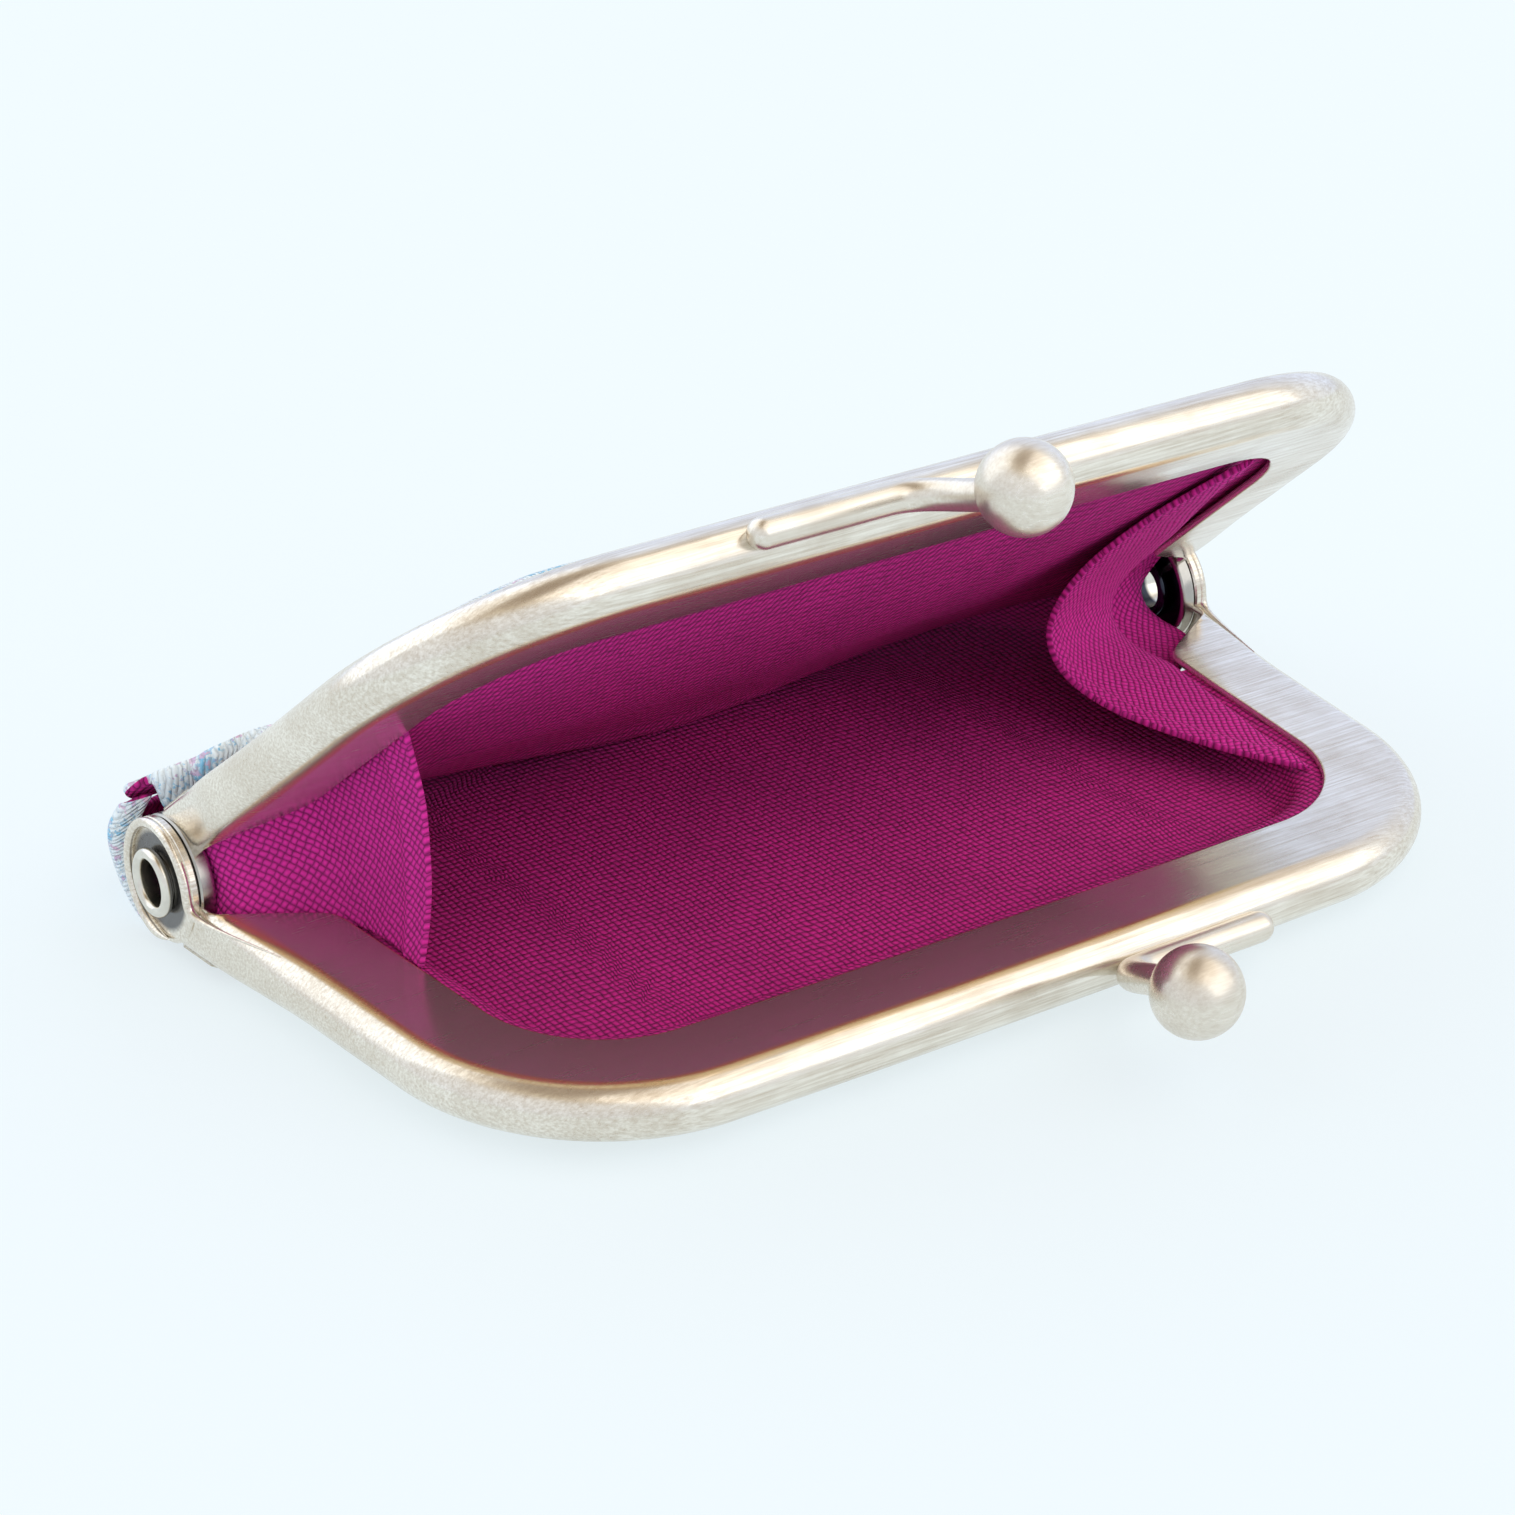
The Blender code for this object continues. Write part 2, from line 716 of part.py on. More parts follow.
def landing_row(crossing, edge, shares, height):
    """Where the upper half's cloth comes down to lie on the lower half's."""
    row = []
    slope = math.tan(opening_angle)
    for start, end, share in zip(crossing, edge, shares):
        beside = start.lerp(end, landing_share)
        flat = Vector((beside.x, start.y + (start.z - height) / slope, height))
        row.append(beside.lerp(flat, math.sin(math.pi * share) ** landing_power))
    return row


def make_upper_panel(name, level, over, thickness, material, edge_sizes, height, swell, turned):
    """A cloth layer from the upper channel, down onto the lower one and out to the seam."""
    stations, shares = cloth_stations()
    turn = turn_out + (outer_level - level) * turn_share
    mouth = mouth_rows(stations, 1, [(tuck_depth, level), (-turn, level), (-turn - turn_out, over)])
    edge = ends_turned([bag_edge(*edge_sizes, share) for share in shares], turned)
    crossing = crossing_row(mouth[-1], edge, shares, 1, over)
    landing = landing_row(crossing, edge, shares, height)
    front = rows_between(mouth[-1], crossing, floor_rows)
    middle = rows_between(crossing, landing, top_rows, swell, shares)
    back = rows_between(landing, edge, top_rows, swell, shares)
    rows = mouth + front + [crossing] + middle + [landing] + back + [edge]
    sheet_object(name, rows, thickness, material)


def smooth_line(points, share):
    """A point of the smooth curve through a few guide points."""
    pieces = len(points) - 1
    index = min(int(share * pieces), pieces - 1)
    way = share * pieces - index
    before = points[max(index - 1, 0)]
    start = points[index]
    end = points[index + 1]
    after = points[min(index + 2, pieces)]
    leaving = (end - before) / 2
    arriving = (after - start) / 2
    bend = 3 * (end - start) - 2 * leaving - arriving
    close = 2 * (start - end) + leaving + arriving
    return start + leaving * way + bend * way**2 + close * way**3


def mouth_edge_x(distance):
    """Half the mouth's width at a distance in front of the hinge line."""
    stations = [point for point, _ in mouth_stations(leg_start, leg_columns)]
    right = stations[len(stations) // 2:]
    for near, far in zip(right, right[1:]):
        if -distance <= far.y:
            way = (-distance - near.y) / (far.y - near.y)
            return near.lerp(far, way).x
    return mouth_half_width_at_hinge


def make_gusset(name, x_side, hem_shares, fold_shares):
    """A side gusset, folded inwards between the two legs, down to the bag's corner."""
    level = closed_gap / 2 + gusset_cloth
    hem_distance, hem_top_distance = (mouth_depth * share for share in hem_shares)
    across, distance, height = fold_shares
    fold = Vector((mouth_half_width_at_front * across, -mouth_depth * distance, mouth_depth * height))
    hem_x = mouth_edge_x(hem_distance) - gusset_inset
    hem_top_x = mouth_edge_x(hem_top_distance) - gusset_inset
    leg_x = mouth_edge_x(tuck_start) - gusset_inset
    corner_x = mouth_edge_x(full_flat_distance) - gusset_inset
    side_x = ear_parting - gusset_ear_gap
    low_z = lining_floor * gusset_low_share
    back = Vector((side_x - gusset_back_inset, gusset_back, low_z))
    low_hem = Vector((hem_x, -hem_distance, -level))
    low_leg = Vector((leg_x, -tuck_start, -level))
    low_corner = Vector((corner_x, -full_flat_distance, -level))
    low_web = Vector((side_x - gusset_inset, -gusset_web_distance, -level))
    low_hinge = Vector((side_x, 0, low_z))
    high_hem = opened(Vector((hem_top_x, -hem_top_distance, level)))
    high_leg = opened(Vector((leg_x, -tuck_start, level)))
    high_corner = opened(Vector((corner_x, -full_flat_distance, level)))
    high_web = opened(Vector((side_x - gusset_inset, -gusset_web_distance, level)))
    high_hinge = Vector((side_x, 0, gusset_top))
    high_back = back + Vector((0, 0, pocket_gap))
    lower = [low_hem, low_leg, low_corner, low_web, low_hinge, back]
    upper = [high_hem, high_leg, high_corner, high_web, high_hinge, high_back]
    reach = fold - low_hem.lerp(high_hem, 0.5)
    spread = (high_hem - low_hem).length
    folds = []
    for low, high in zip(lower, upper):
        share = (high - low).length / spread
        folds.append(low.lerp(high, 0.5) + reach * share**gusset_fold_power)
    rows = []
    for row in range(gusset_rows + 1):
        low = smooth_line(lower, row / gusset_rows)
        high = smooth_line(upper, row / gusset_rows)
        middle = smooth_line(folds, row / gusset_rows)
        pull = 2 * middle - (low + high) / 2
        points = []
        for column in range(gusset_columns + 1):
            way = column / gusset_columns
            point = low.lerp(pull, way).lerp(pull.lerp(high, way), way)
            points.append(Vector((point.x * x_side, point.y, point.z)))
        rows.append(points)
    sheet_object(name, rows, gusset_cloth, lining)


def make_bag():
    """The cloth layers of both halves and the two gussets."""
    outer_rise = seam_height_at_back
    outer = (bag_half_width, ear_radius, bag_back, outer_floor, seam_height_at_hinge, outer_rise)
    make_lower_panel(
        "lower_outer_panel", outer_level, outer_floor, outer_cloth, brocade, outer_wall_shares, outer)
    over = closed_gap / 2 + channel_height + outer_cloth / 2 + closed_gap
    seam = outer_cloth + seam_gap
    lining_landing = lining_floor + lining_cloth + seam_gap
    outer_top = (
        bag_half_width,
        ear_radius + seam,
        bag_back,
        outer_floor + seam_height_at_hinge + seam,
        outer_floor + outer_rise + seam,
    )
    outer_landing = lining_landing + outer_level - lining_level + landing_lift
    make_upper_panel(
        "upper_outer_panel", outer_level, over, outer_cloth, brocade, outer_top, outer_landing,
        side_swell, 1)
    layers = (
        ("interlining", interlining_level, interlining_floor, interlining_cloth, felt,
         interlining_half_width, interlining_back),
        ("lining", lining_level, lining_floor, lining_cloth, lining,
         lining_half_width, lining_back),
    )
    for name, level, floor, cloth, material, half_width, back in layers:
        sizes = (half_width, leg_start, back, floor, inner_rise_at_hinge, inner_rise_at_back)
        make_lower_panel("lower_" + name, level, floor, cloth, material, inner_wall_shares, sizes)
        edge_at_hinge = opened(Vector((0, -leg_start, level)))
        lifted = lining_floor + inner_rise_at_back + lining_cloth + seam_gap + level - lining_level
        top = (half_width, edge_at_hinge.y, back, edge_at_hinge.z, lifted)
        landing = lining_landing + level - lining_level
        make_upper_panel("upper_" + name, level, level, cloth, material, top, landing, 0, 0)
    make_gusset("left_gusset", -1, left_hem_shares, left_fold_shares)
    make_gusset("right_gusset", 1, right_hem_shares, right_fold_shares)


def main():
    """Build the purse from an empty scene."""
    make_frame("lower_frame", -1, lower_half)
    make_frame("upper_frame", 1, upper_half)
    make_rivet("left_rivet", -1)
    make_rivet("right_rivet", 1)
    make_clasp("lower", lower_half, Matrix())
    make_clasp("upper", upper_half, Matrix.Rotation(math.pi, 4, "Y"))
    make_cord("lower", -1, lower_half)
    make_cord("upper", 1, upper_half)
    make_bag()


for old in list(bpy.data.objects):
    bpy.data.objects.remove(old)
parts = new_collection("clasp_purse")
cutters = new_collection("cutters")
cutters.hide_render = True
brass = new_material("antique_brass", (0.62, 0.50, 0.32), 0.32, 1.0)
rivet_brass = new_material("rivet_brass", (0.68, 0.62, 0.48), 0.28, 1.0)
brocade = new_material("brocade", (0.72, 0.80, 0.86), 0.75, 0.0)
felt = new_material("interlining", (0.85, 0.78, 0.72), 0.95, 0.0)
lining = new_material("magenta_canvas", (0.42, 0.02, 0.14), 0.85, 0.0)
paper = new_material("paper_cord", (0.70, 0.58, 0.42), 0.9, 0.0)
hinge_line = add_object("hinge_line", None, parts)
hinge_line.location = (0, 0, hinge_height)
lower_half = add_object("lower_half", None, parts, parent=hinge_line)
upper_half = add_object("upper_half", None, parts, parent=hinge_line)
upper_half.rotation_euler = (-opening_angle, 0, 0)
main()
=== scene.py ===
"""Looks for a small clasp purse: brass channel frame, canvas lining and brocade bag."""

import json
import math

import bmesh
import bpy
from bpy.props import FloatProperty, FloatVectorProperty, IntProperty, PointerProperty
from mathutils import Matrix, Vector, noise

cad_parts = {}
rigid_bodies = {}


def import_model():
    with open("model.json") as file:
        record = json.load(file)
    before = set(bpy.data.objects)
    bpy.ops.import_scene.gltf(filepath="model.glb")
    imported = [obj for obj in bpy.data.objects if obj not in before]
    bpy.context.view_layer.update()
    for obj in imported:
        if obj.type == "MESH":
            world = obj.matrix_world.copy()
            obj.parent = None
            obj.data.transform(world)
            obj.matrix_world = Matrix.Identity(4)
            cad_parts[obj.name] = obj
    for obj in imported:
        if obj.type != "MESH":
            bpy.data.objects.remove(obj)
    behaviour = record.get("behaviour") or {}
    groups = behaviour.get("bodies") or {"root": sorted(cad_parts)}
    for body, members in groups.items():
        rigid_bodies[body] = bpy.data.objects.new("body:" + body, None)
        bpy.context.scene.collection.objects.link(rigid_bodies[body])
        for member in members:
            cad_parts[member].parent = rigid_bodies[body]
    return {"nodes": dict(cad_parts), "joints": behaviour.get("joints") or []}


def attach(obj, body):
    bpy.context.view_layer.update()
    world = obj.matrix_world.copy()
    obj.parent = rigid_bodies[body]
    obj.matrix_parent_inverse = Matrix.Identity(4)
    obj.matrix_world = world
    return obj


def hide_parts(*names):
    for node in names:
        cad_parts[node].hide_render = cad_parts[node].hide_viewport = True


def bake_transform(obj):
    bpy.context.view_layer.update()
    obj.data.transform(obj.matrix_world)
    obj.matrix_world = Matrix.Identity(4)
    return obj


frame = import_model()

bl_info = {
    "name": "Clasp purse",
    "version": (1, 0, 0),
    "blender": (4, 5, 0),
    "location": "3D View > Sidebar > Purse",
    "description": "Dresses the clasp purse's solids with brass, canvas and brocade",
    "category": "Object",
}

mm = 0.001
degree = math.pi / 180
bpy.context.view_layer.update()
hinge = frame["joints"][0]
hinge_height = hinge["pos_m"][2]
lower_body = hinge["parent"]
upper_body = hinge["child"]
opening_angle = -hinge["range_deg"][0] * degree

# Mouth and channel, as the solids have them
mouth_half_width_at_hinge = 34.4 * mm
mouth_half_width_at_front = 31.55 * mm
mouth_depth = 31.6 * mm
mouth_corner_radius = 8.6 * mm
front_bow = 0.4 * mm
flat_width = 4.75 * mm
channel_height = 3.8 * mm
brass_thickness = 0.55 * mm
closed_gap = 0.3 * mm
full_flat_distance = 9.0 * mm
flat_end_softness = 0.45 * mm
flat_end_depth = 1.2 * brass_thickness
exponent_limit = 40
channel_start = 1.4 * mm
rim_radius = channel_height / 2
crest_offset = flat_width + rim_radius
leg_slope = (mouth_half_width_at_hinge - mouth_half_width_at_front) / mouth_depth

# Where the leg's round side turns flat, and how square it gets
side_flat_start = 15.0 * mm
side_square_power = 0.5

# Steps along the mouth's leg, corner and front, and round the channel's section
channel_steps = (52, 26, 24)
lip_steps = 6
rim_steps = 24
inner_rim_steps = 12
cloth_steps = (3, 5, 4)
edge_steps = (3, 11, 6)

# Ears and rivets
ear_radius = 4.1 * mm
ear_thickness = 0.6 * mm
ear_lip_width = 0.6 * mm
ear_lip_height = 0.5 * mm
ear_play = 0.1 * mm
ear_parting = mouth_half_width_at_hinge + flat_width + 1.15 * mm
ear_edge = 0.12 * mm
leg_start = ear_radius + ear_lip_width
ear_shift_start = 0.7 * leg_start
rivet_bore_radius = 1.5 * mm
rivet_wall = 0.3 * mm
rivet_roll_radius = 0.38 * mm
running_clearance = 0.08 * mm
lower_ear_shift = 0.04 * mm
upper_ear_shift = -0.66 * mm
ear_lip_steps = 8
rivet_roll_steps = 14
solder_gap = 0.15 * mm

# Clasp
ball_diameter = 5.8 * mm
ball_offset = 2.98 * mm
ball_overhang = 8.65 * mm
ball_rise = 1.3 * mm
stem_diameter = 2.0 * mm
stem_end_offset = 16.4 * mm
stem_bend_offset = 6.6 * mm
stem_sink = 0.5 * mm
stem_end_steps = 8
stem_straight_steps = 17
stem_bend_steps = 24
stem_sides = 32
ball_segments = 64

# Bead, whose run on from the ear along the leg is inwards, ahead and height in millimetres
bead_radius = 0.33 * mm
bead_stand_off = 0.55
bead_ring_share = 0.9
bead_start_angle = 292
bead_end_angle = 14
bead_sides = 16
bead_ring_steps = 60
bead_leg_steps = 36
bead_start_steps = 7
bead_tip_share = 0.12
bead_run_on = (
    (0.02, 0.16, -0.10), (0.12, 0.75, -0.50), (0.35, 1.8, -0.60), (0.75, 3.4, -0.56),
    (1.35, 5.6, -0.44), (2.0, 8.0, -0.34),
)

# Cloth layers
outer_cloth = 0.6 * mm
interlining_cloth = 0.5 * mm
lining_cloth = 0.45 * mm
layer_gap = 0.25 * mm
tuck_depth = 3.3 * mm
tuck_start = 11.0 * mm
turn_out = 0.6 * mm
bag_half_width = ear_parting + 0.2 * mm
bag_back = 18.5 * mm
outline_power = 1.35
seam_height_at_back = 3.05 * mm
seam_height_at_hinge = 8.3 * mm
seam_gap = 0.35 * mm
side_swell = 0.6 * mm
side_tuck = Vector((0.7, -0.45, -2.1)) * mm
inner_sag = 0.9 * mm
sag_shares = (0.6, 1.0, 1.0, 0.6, 0.3)
end_overrun = 0.2
canvas_slack = 0.48
flat_middle_share = 0.5
end_return = Vector((1.6, -0.7, 0)) * mm
landing_share = 0.5
landing_lift = 0.5 * mm
landing_power = 2.0
crossing_distance = 8.5 * mm
crossing_half_width = 30.0 * mm
crossing_power = 1.3
crossing_corner_share = 0.3
end_column_share = 0.12
interlining_half_width = bag_half_width - 3.3 * mm
interlining_back = 15.4 * mm
lining_half_width = bag_half_width - 4.3 * mm
lining_back = 14.2 * mm
inner_rise_at_hinge = 1.2 * mm
inner_rise_at_back = 0.3 * mm
pocket_gap = 1.6 * mm
layer_room = channel_height - 2 * brass_thickness - outer_cloth - interlining_cloth - lining_cloth
tuck_gap = layer_room / 4
lining_level = closed_gap / 2 + brass_thickness + tuck_gap + lining_cloth / 2
interlining_level = lining_level + lining_cloth / 2 + tuck_gap + interlining_cloth / 2
outer_level = interlining_level + interlining_cloth / 2 + tuck_gap + outer_cloth / 2
outer_floor = outer_cloth / 2 - hinge_height
interlining_floor = outer_floor + outer_cloth / 2 + layer_gap + interlining_cloth / 2
lining_floor = interlining_floor + interlining_cloth / 2 + layer_gap + lining_cloth / 2
lining_landing = lining_floor + lining_cloth + seam_gap
lining_row_count = 48
outer_row_counts = (64, 60)

# Each row up the bag's side: its shares of the width, front, back, two heights and end return
outer_wall_shares = (
    (0.94, -0.60, 0.76, 0.00, 0.00, 0.00),
    (1.00, 0.70, 0.92, 0.01, 0.12, 0.00),
    (1.01, 1.34, 0.98, 0.38, 0.45, 1.00),
    (1.015, 1.37, 1.00, 0.77, 0.78, 1.00),
    (1.00, 1.22, 1.01, 1.00, 1.00, 1.00),
)
inner_wall_shares = (
    (0.93, -1.45, 0.86, 0.00, 0.00, 0.00),
    (1.00, -0.95, 1.00, 1.00, 1.00, 0.00),
)

# Gussets
gusset_inset = 0.5 * mm
gusset_ear_gap = 2.8 * mm
gusset_web_distance = 5.5 * mm
gusset_top = 0.5 * mm
gusset_back = Vector((-1.6, 3.2, 0)) * mm
gusset_low_share = 0.55
gusset_fold_power = 1.5
gusset_row_power = 1.35
gusset_grid = (72, 44)
gusset_bias = 38 * degree
gusset_fineness = 0.9
# Painted light: the gussets' shade between threads, this many times the lining's
gusset_painted_light = 1.7
gusset_tuck = Vector((1.5, 0, 1.5)) * mm

# Each gusset's side, the hem's distances below and above, fold, hem band, flat size and area
gusset_sizes = {
    "left": (-1, 17.3 * mm, 21.2 * mm, Vector((31.1, -16.2, 6.6)) * mm, 2.4 * mm,
             (0.022, 0.024), 0.000216),
    "right": (1, 27.5 * mm, 30.2 * mm, Vector((21.3, -10.2, 4.1)) * mm, 1.6 * mm,
              (0.032, 0.036), 0.000462),
}
hem_lift = -0.24 * mm
hem_fade_before = 0.35 * mm
hem_fade_after = 0.1 * mm
hem_ridge_inset = 0.45 * mm
hem_ridge_width = 0.28 * mm

# Brushed brass: scale along and across the grain, how strongly each mark tells, and the painted
# shade and reflections near the hinge
brush_scale = (150, 5200, 5200)
brushed_streaks = 0.30
satin_streaks = 0.16
satin_share = 1.4
streak_gain = 5
streak_level = 0.20
age_share = 0.35
# Painted shade in the recess round the hinge: how strongly it darkens the brass
recess_shade_share = 0.85
# Painted dark reflection on the lower flange's flat face: how strongly, and how dark a share of the
# brass
flange_reflection_share = 0.75
flange_reflection_depth = 0.53
# Painted gold reflection along the bend from flat face to rim: its strength, and its levels by
# depth in millimetres
bend_reflection_share = 0.75
bend_reflection_levels = ((0.0, 0.0), (0.015, 1.0), (0.09, 0.7), (0.19, 0.0))

# Paper cord
paper_color = (0.72, 0.6, 0.42)
paper_shade = (0.4, 0.3, 0.18)

# Stage
camera_eye = Vector((-145.03, -204.09, 127.26)) * mm
camera_aim = Vector((-0.03, -6.57, 0)) * mm
camera_roll = 1.68 * degree
camera_clip = 0.01
floor_size = 6
floor_height = -0.05 * mm
floor_glow = (0.90, 0.98, 1.0)
floor_glow_share = 0.72
sky_stops = (
    (0.0, (0.82, 0.90, 1.0)), (0.5, (0.90, 0.95, 1.03)), (0.84, (0.97, 0.99, 1.03)),
    (0.93, (0.70, 0.58, 0.42)), (0.98, (0.36, 0.26, 0.16)),
)
window_tint = (0.88, 1.0, 1.30)
window_share = 0.9
window_direction = (0.6, 0.8)
window_range = (0.45, 0.85)
sky_strength = 0.95
key_lamp = ((0.30, -0.45, 0.62), 1.1, (1.0, 0.98, 0.95))
back_lamp = ((-0.25, 0.6, 0.5), 1.0, (0.88, 0.94, 1.0))

merge_distance = 0.001 * mm
sharp_angle = 40 * degree


class Wire:
    """A node's output that takes part in sums, each of which adds a Math node."""

    def __init__(self, finish, socket):
        self.finish = finish
        self.socket = socket

    def math(self, operation, *values):
        return self.finish.math(operation, self, *values)

    def __add__(self, other):
        return self.math("ADD", other)

    __radd__ = __add__

    def __sub__(self, other):
        return self.math("SUBTRACT", other)

    def __rsub__(self, other):
        return self.finish.math("SUBTRACT", other, self)

    def __mul__(self, other):
        return self.math("MULTIPLY", other)

    __rmul__ = __mul__

    def __truediv__(self, other):
        return self.math("DIVIDE", other)

    def __pow__(self, other):
        return self.math("POWER", other)


class Finish:
    """A material's nodes, added one at a time with their settings and sockets."""

    def __init__(self, name, tree=None):
        if tree is None:
            self.material = bpy.data.materials.new(name)
            self.material.use_nodes = True
            tree = self.material.node_tree
        self.tree = tree
        self.shader = tree.nodes.get("Principled BSDF")

    def node(self, kind, settings=None, inputs=None):
        made = self.tree.nodes.new(kind)
        for key, value in (settings or {}).items():
            if key == "stops":
                elements = made.color_ramp.elements
                while len(elements) < len(value):
                    elements.new(1)
                for element, (place, color) in zip(elements, value):
                    element.position = place
                    element.color = (*color, 1)
            else:
                setattr(made, key, value)
        for key, value in (inputs or {}).items():
            self.join(value, made.inputs[key])
        return made

    def add(self, kind, settings=None, inputs=None, output=0):
        return Wire(self, self.node(kind, settings, inputs).outputs[output])

    def join(self, value, socket):
        if isinstance(value, Wire):
            self.tree.links.new(value.socket, socket)
        elif socket.type == "RGBA" and len(value) == 3:
            socket.default_value = (*value, 1)
        else:
            socket.default_value = value

    def math(self, operation, *values):
        return self.add("ShaderNodeMath", {"operation": operation}, dict(enumerate(values)))

    def mix(self, share, first, second):
        node = self.node("ShaderNodeMix", {"data_type": "RGBA"}, {0: share, 6: first, 7: second})
        return Wire(self, node.outputs[2])

    def ramp(self, value, stops):
        return self.add("ShaderNodeValToRGB", {"stops": stops}, {0: value})

    def levels(self, value, *stops):
        return self.ramp(value, [(place, (level, level, level)) for place, level in stops])

    def mask(self, value, low, high):
        return self.levels(value, (low, 0), (high, 1))

    def noise(self, vector, scale, detail=2.0, roughness=0.5):
        inputs = {"Vector": vector, "Scale": scale, "Detail": detail, "Roughness": roughness}
        return self.add("ShaderNodeTexNoise", None, inputs)

    def place(self):
        return self.add("ShaderNodeTexCoord", None, None, 3)

    def cloth_map(self):
        return self.add("ShaderNodeUVMap", {"uv_map": "cloth"})

    def split(self, vector):
        parts = self.node("ShaderNodeSeparateXYZ", None, {0: vector})
        return [Wire(self, output) for output in parts.outputs]

    def bump(self, height, strength, distance):
        inputs = {"Strength": strength, "Distance": distance, "Height": height}
        return self.add("ShaderNodeBump", None, inputs)

    def set(self, **sockets):
        for key, value in sockets.items():
            self.join(value, self.shader.inputs[key.replace("_", " ")])


def hinge_share(parts):
    """Distance from the hinge axis, as a share of the ears' radius."""
    return (parts[1] ** 2 + (parts[2] - hinge_height) ** 2).math("SQRT") / ear_radius


def brass_finish(name, look, roughness, streak_share, painted_shade_and_reflections=False):
    """Brushed and lightly aged brass. The brushing runs along X.

    Where asked, painted shade darkens the recess round the hinge, a painted dark reflection darkens
    the flange, and a painted gold reflection lines the flange's bend.
    """
    finish = Finish(name)
    place = finish.place()
    brushed = finish.add("ShaderNodeMapping", None, {0: place, "Scale": brush_scale})
    streaks = finish.noise(brushed, 1.0, 3.0, 0.7)
    wear = finish.noise(place, 190.0, 4.0, 0.6)
    age = finish.mask(wear, 0.40, 0.74)
    tone = finish.mix(age * age_share, look.brass, look.shade)
    streaked = (streaks - 0.5) * streak_share * streak_gain + streak_level
    tone = finish.mix(streaked, tone, look.shade)
    if painted_shade_and_reflections:
        parts = finish.split(place)
        from_axis = hinge_share(parts)
        # Painted shade: the brass turns near-black in the recess round the hinge axis
        recess = 1 - finish.mask(from_axis, 0.74, 0.84)
        tone = finish.mix(recess * recess_shade_share, tone, look.patina_and_shade)
        near = closed_gap / 2
        over = (parts[1] * math.sin(opening_angle)
                + (parts[2] - hinge_height) * math.cos(opening_angle) - near) / mm
        under = (hinge_height - near - parts[2]) / mm
        # Where the painted flange and bend reflections show: away from the hinge, fading out
        # towards the right
        shown = finish.mask(from_axis / 2, 0.56, 0.70)
        shown = shown * (1 - finish.mask(parts[0] / (2 * ear_parting) + 0.5, 0.62, 0.86))
        # Painted dark reflection on the lower flange's flat face
        flange = 1 - finish.mask(under, 0.012, 0.035)
        flange = flange * finish.mask(under + 0.5, 0.46, 0.48) * shown
        painted_reflection_tone = [flange_reflection_depth * value for value in look.brass]
        tone = finish.mix(flange * flange_reflection_share, tone, painted_reflection_tone)
        # Painted reflection: a gold line along the bend just past each half's flat face
        for drop in (over, under):
            bend = finish.levels(drop, *bend_reflection_levels)
            tone = finish.mix(bend * shown * bend_reflection_share, tone, look.bend_reflection)
    finish.set(
        Base_Color=tone,
        Metallic=0.86,
        Roughness=(streaks - 0.5) * streak_share + roughness + age * 0.07,
        Normal=finish.bump(streaks, 0.4 * streak_share, 0.012 * mm),
    )
    return finish.material


def rivet_finish(name, color, patina_and_shade, roughness):
    """Polished brass, mottled with darker wear, on the ears' outside and edges; near-black painted
    shade and dark reflection between and inside.
    """
    finish = Finish(name)
    place = finish.place()
    parts = finish.split(place)
    outside = (parts[0].math("ABSOLUTE") - ear_parting) / mm
    edge = finish.mask(hinge_share(parts), 0.90, 0.96)
    # Where the brass shows: the ears' outside faces and, partly, their rims; the rest takes the
    # painted shade
    bright = finish.mask(outside * 0.5 + 0.5, 0.45, 0.6).math("MAXIMUM", edge * 0.6)
    wear = finish.noise(place, 900.0, 3.0, 0.6)
    tone = finish.mix(wear * 0.4, color, patina_and_shade)
    finish.set(
        Base_Color=finish.mix(bright, patina_and_shade, tone),
        Metallic=1.0,
        Roughness=wear * 0.12 + roughness,
        Normal=finish.bump(wear, 0.2, 0.02 * mm),
    )
    return finish.material


def woven_height(across, along):
    """How high the cloth stands in a plain weave, and which thread is on top, from two counts."""
    parity = (across.math("FLOOR") + along.math("FLOOR")).math("PINGPONG", 1.0)
    first = (across.math("FRACT") * math.pi).math("SINE")
    second = (along.math("FRACT") * math.pi).math("SINE")
    up = first ** 0.7 * (second * 0.35 + 0.65)
    over = second ** 0.7 * (first * 0.55 + 0.35)
    return up * parity + over * (1 - parity), parity


def canvas_finish(name, color, deep, pitch, turn=0.0):
    """Coarse plain-woven canvas along the cloth's own map, or turned on it by an angle."""
    finish = Finish(name)
    turned = {0: finish.cloth_map(), "Rotation": (0, 0, turn)}
    cloth = finish.add("ShaderNodeMapping", None, turned)
    wander = finish.noise(cloth, 330.0, 3.0)
    sway = finish.noise(cloth, 75.0, 2.0)
    parts = finish.split(cloth)
    across = parts[0] / pitch + (wander - 0.5) * 1.5 + sway * 2.5
    along = parts[1] / (pitch * 1.06) - (wander - 0.5) * 1.3 - sway * 1.8
    height, parity = woven_height(across, along)
    slub = finish.noise(cloth, 1100.0, 3.0, 0.75)
    patch = finish.noise(cloth, 90.0, 2.0)
    thread = height + (slub - 0.5) * 0.6
    light = finish.ramp(thread, ((0.10, deep), (0.85, color)))
    varied = finish.mix((patch - 0.5) * 0.7 + parity * 0.12 + 0.04, light, deep)
    finish.set(
        Base_Color=varied,
        Roughness=0.9,
        Specular_IOR_Level=0.25,
        Normal=finish.bump(height + slub * 0.35, 1.0, pitch * 0.34),
    )
    return finish.material


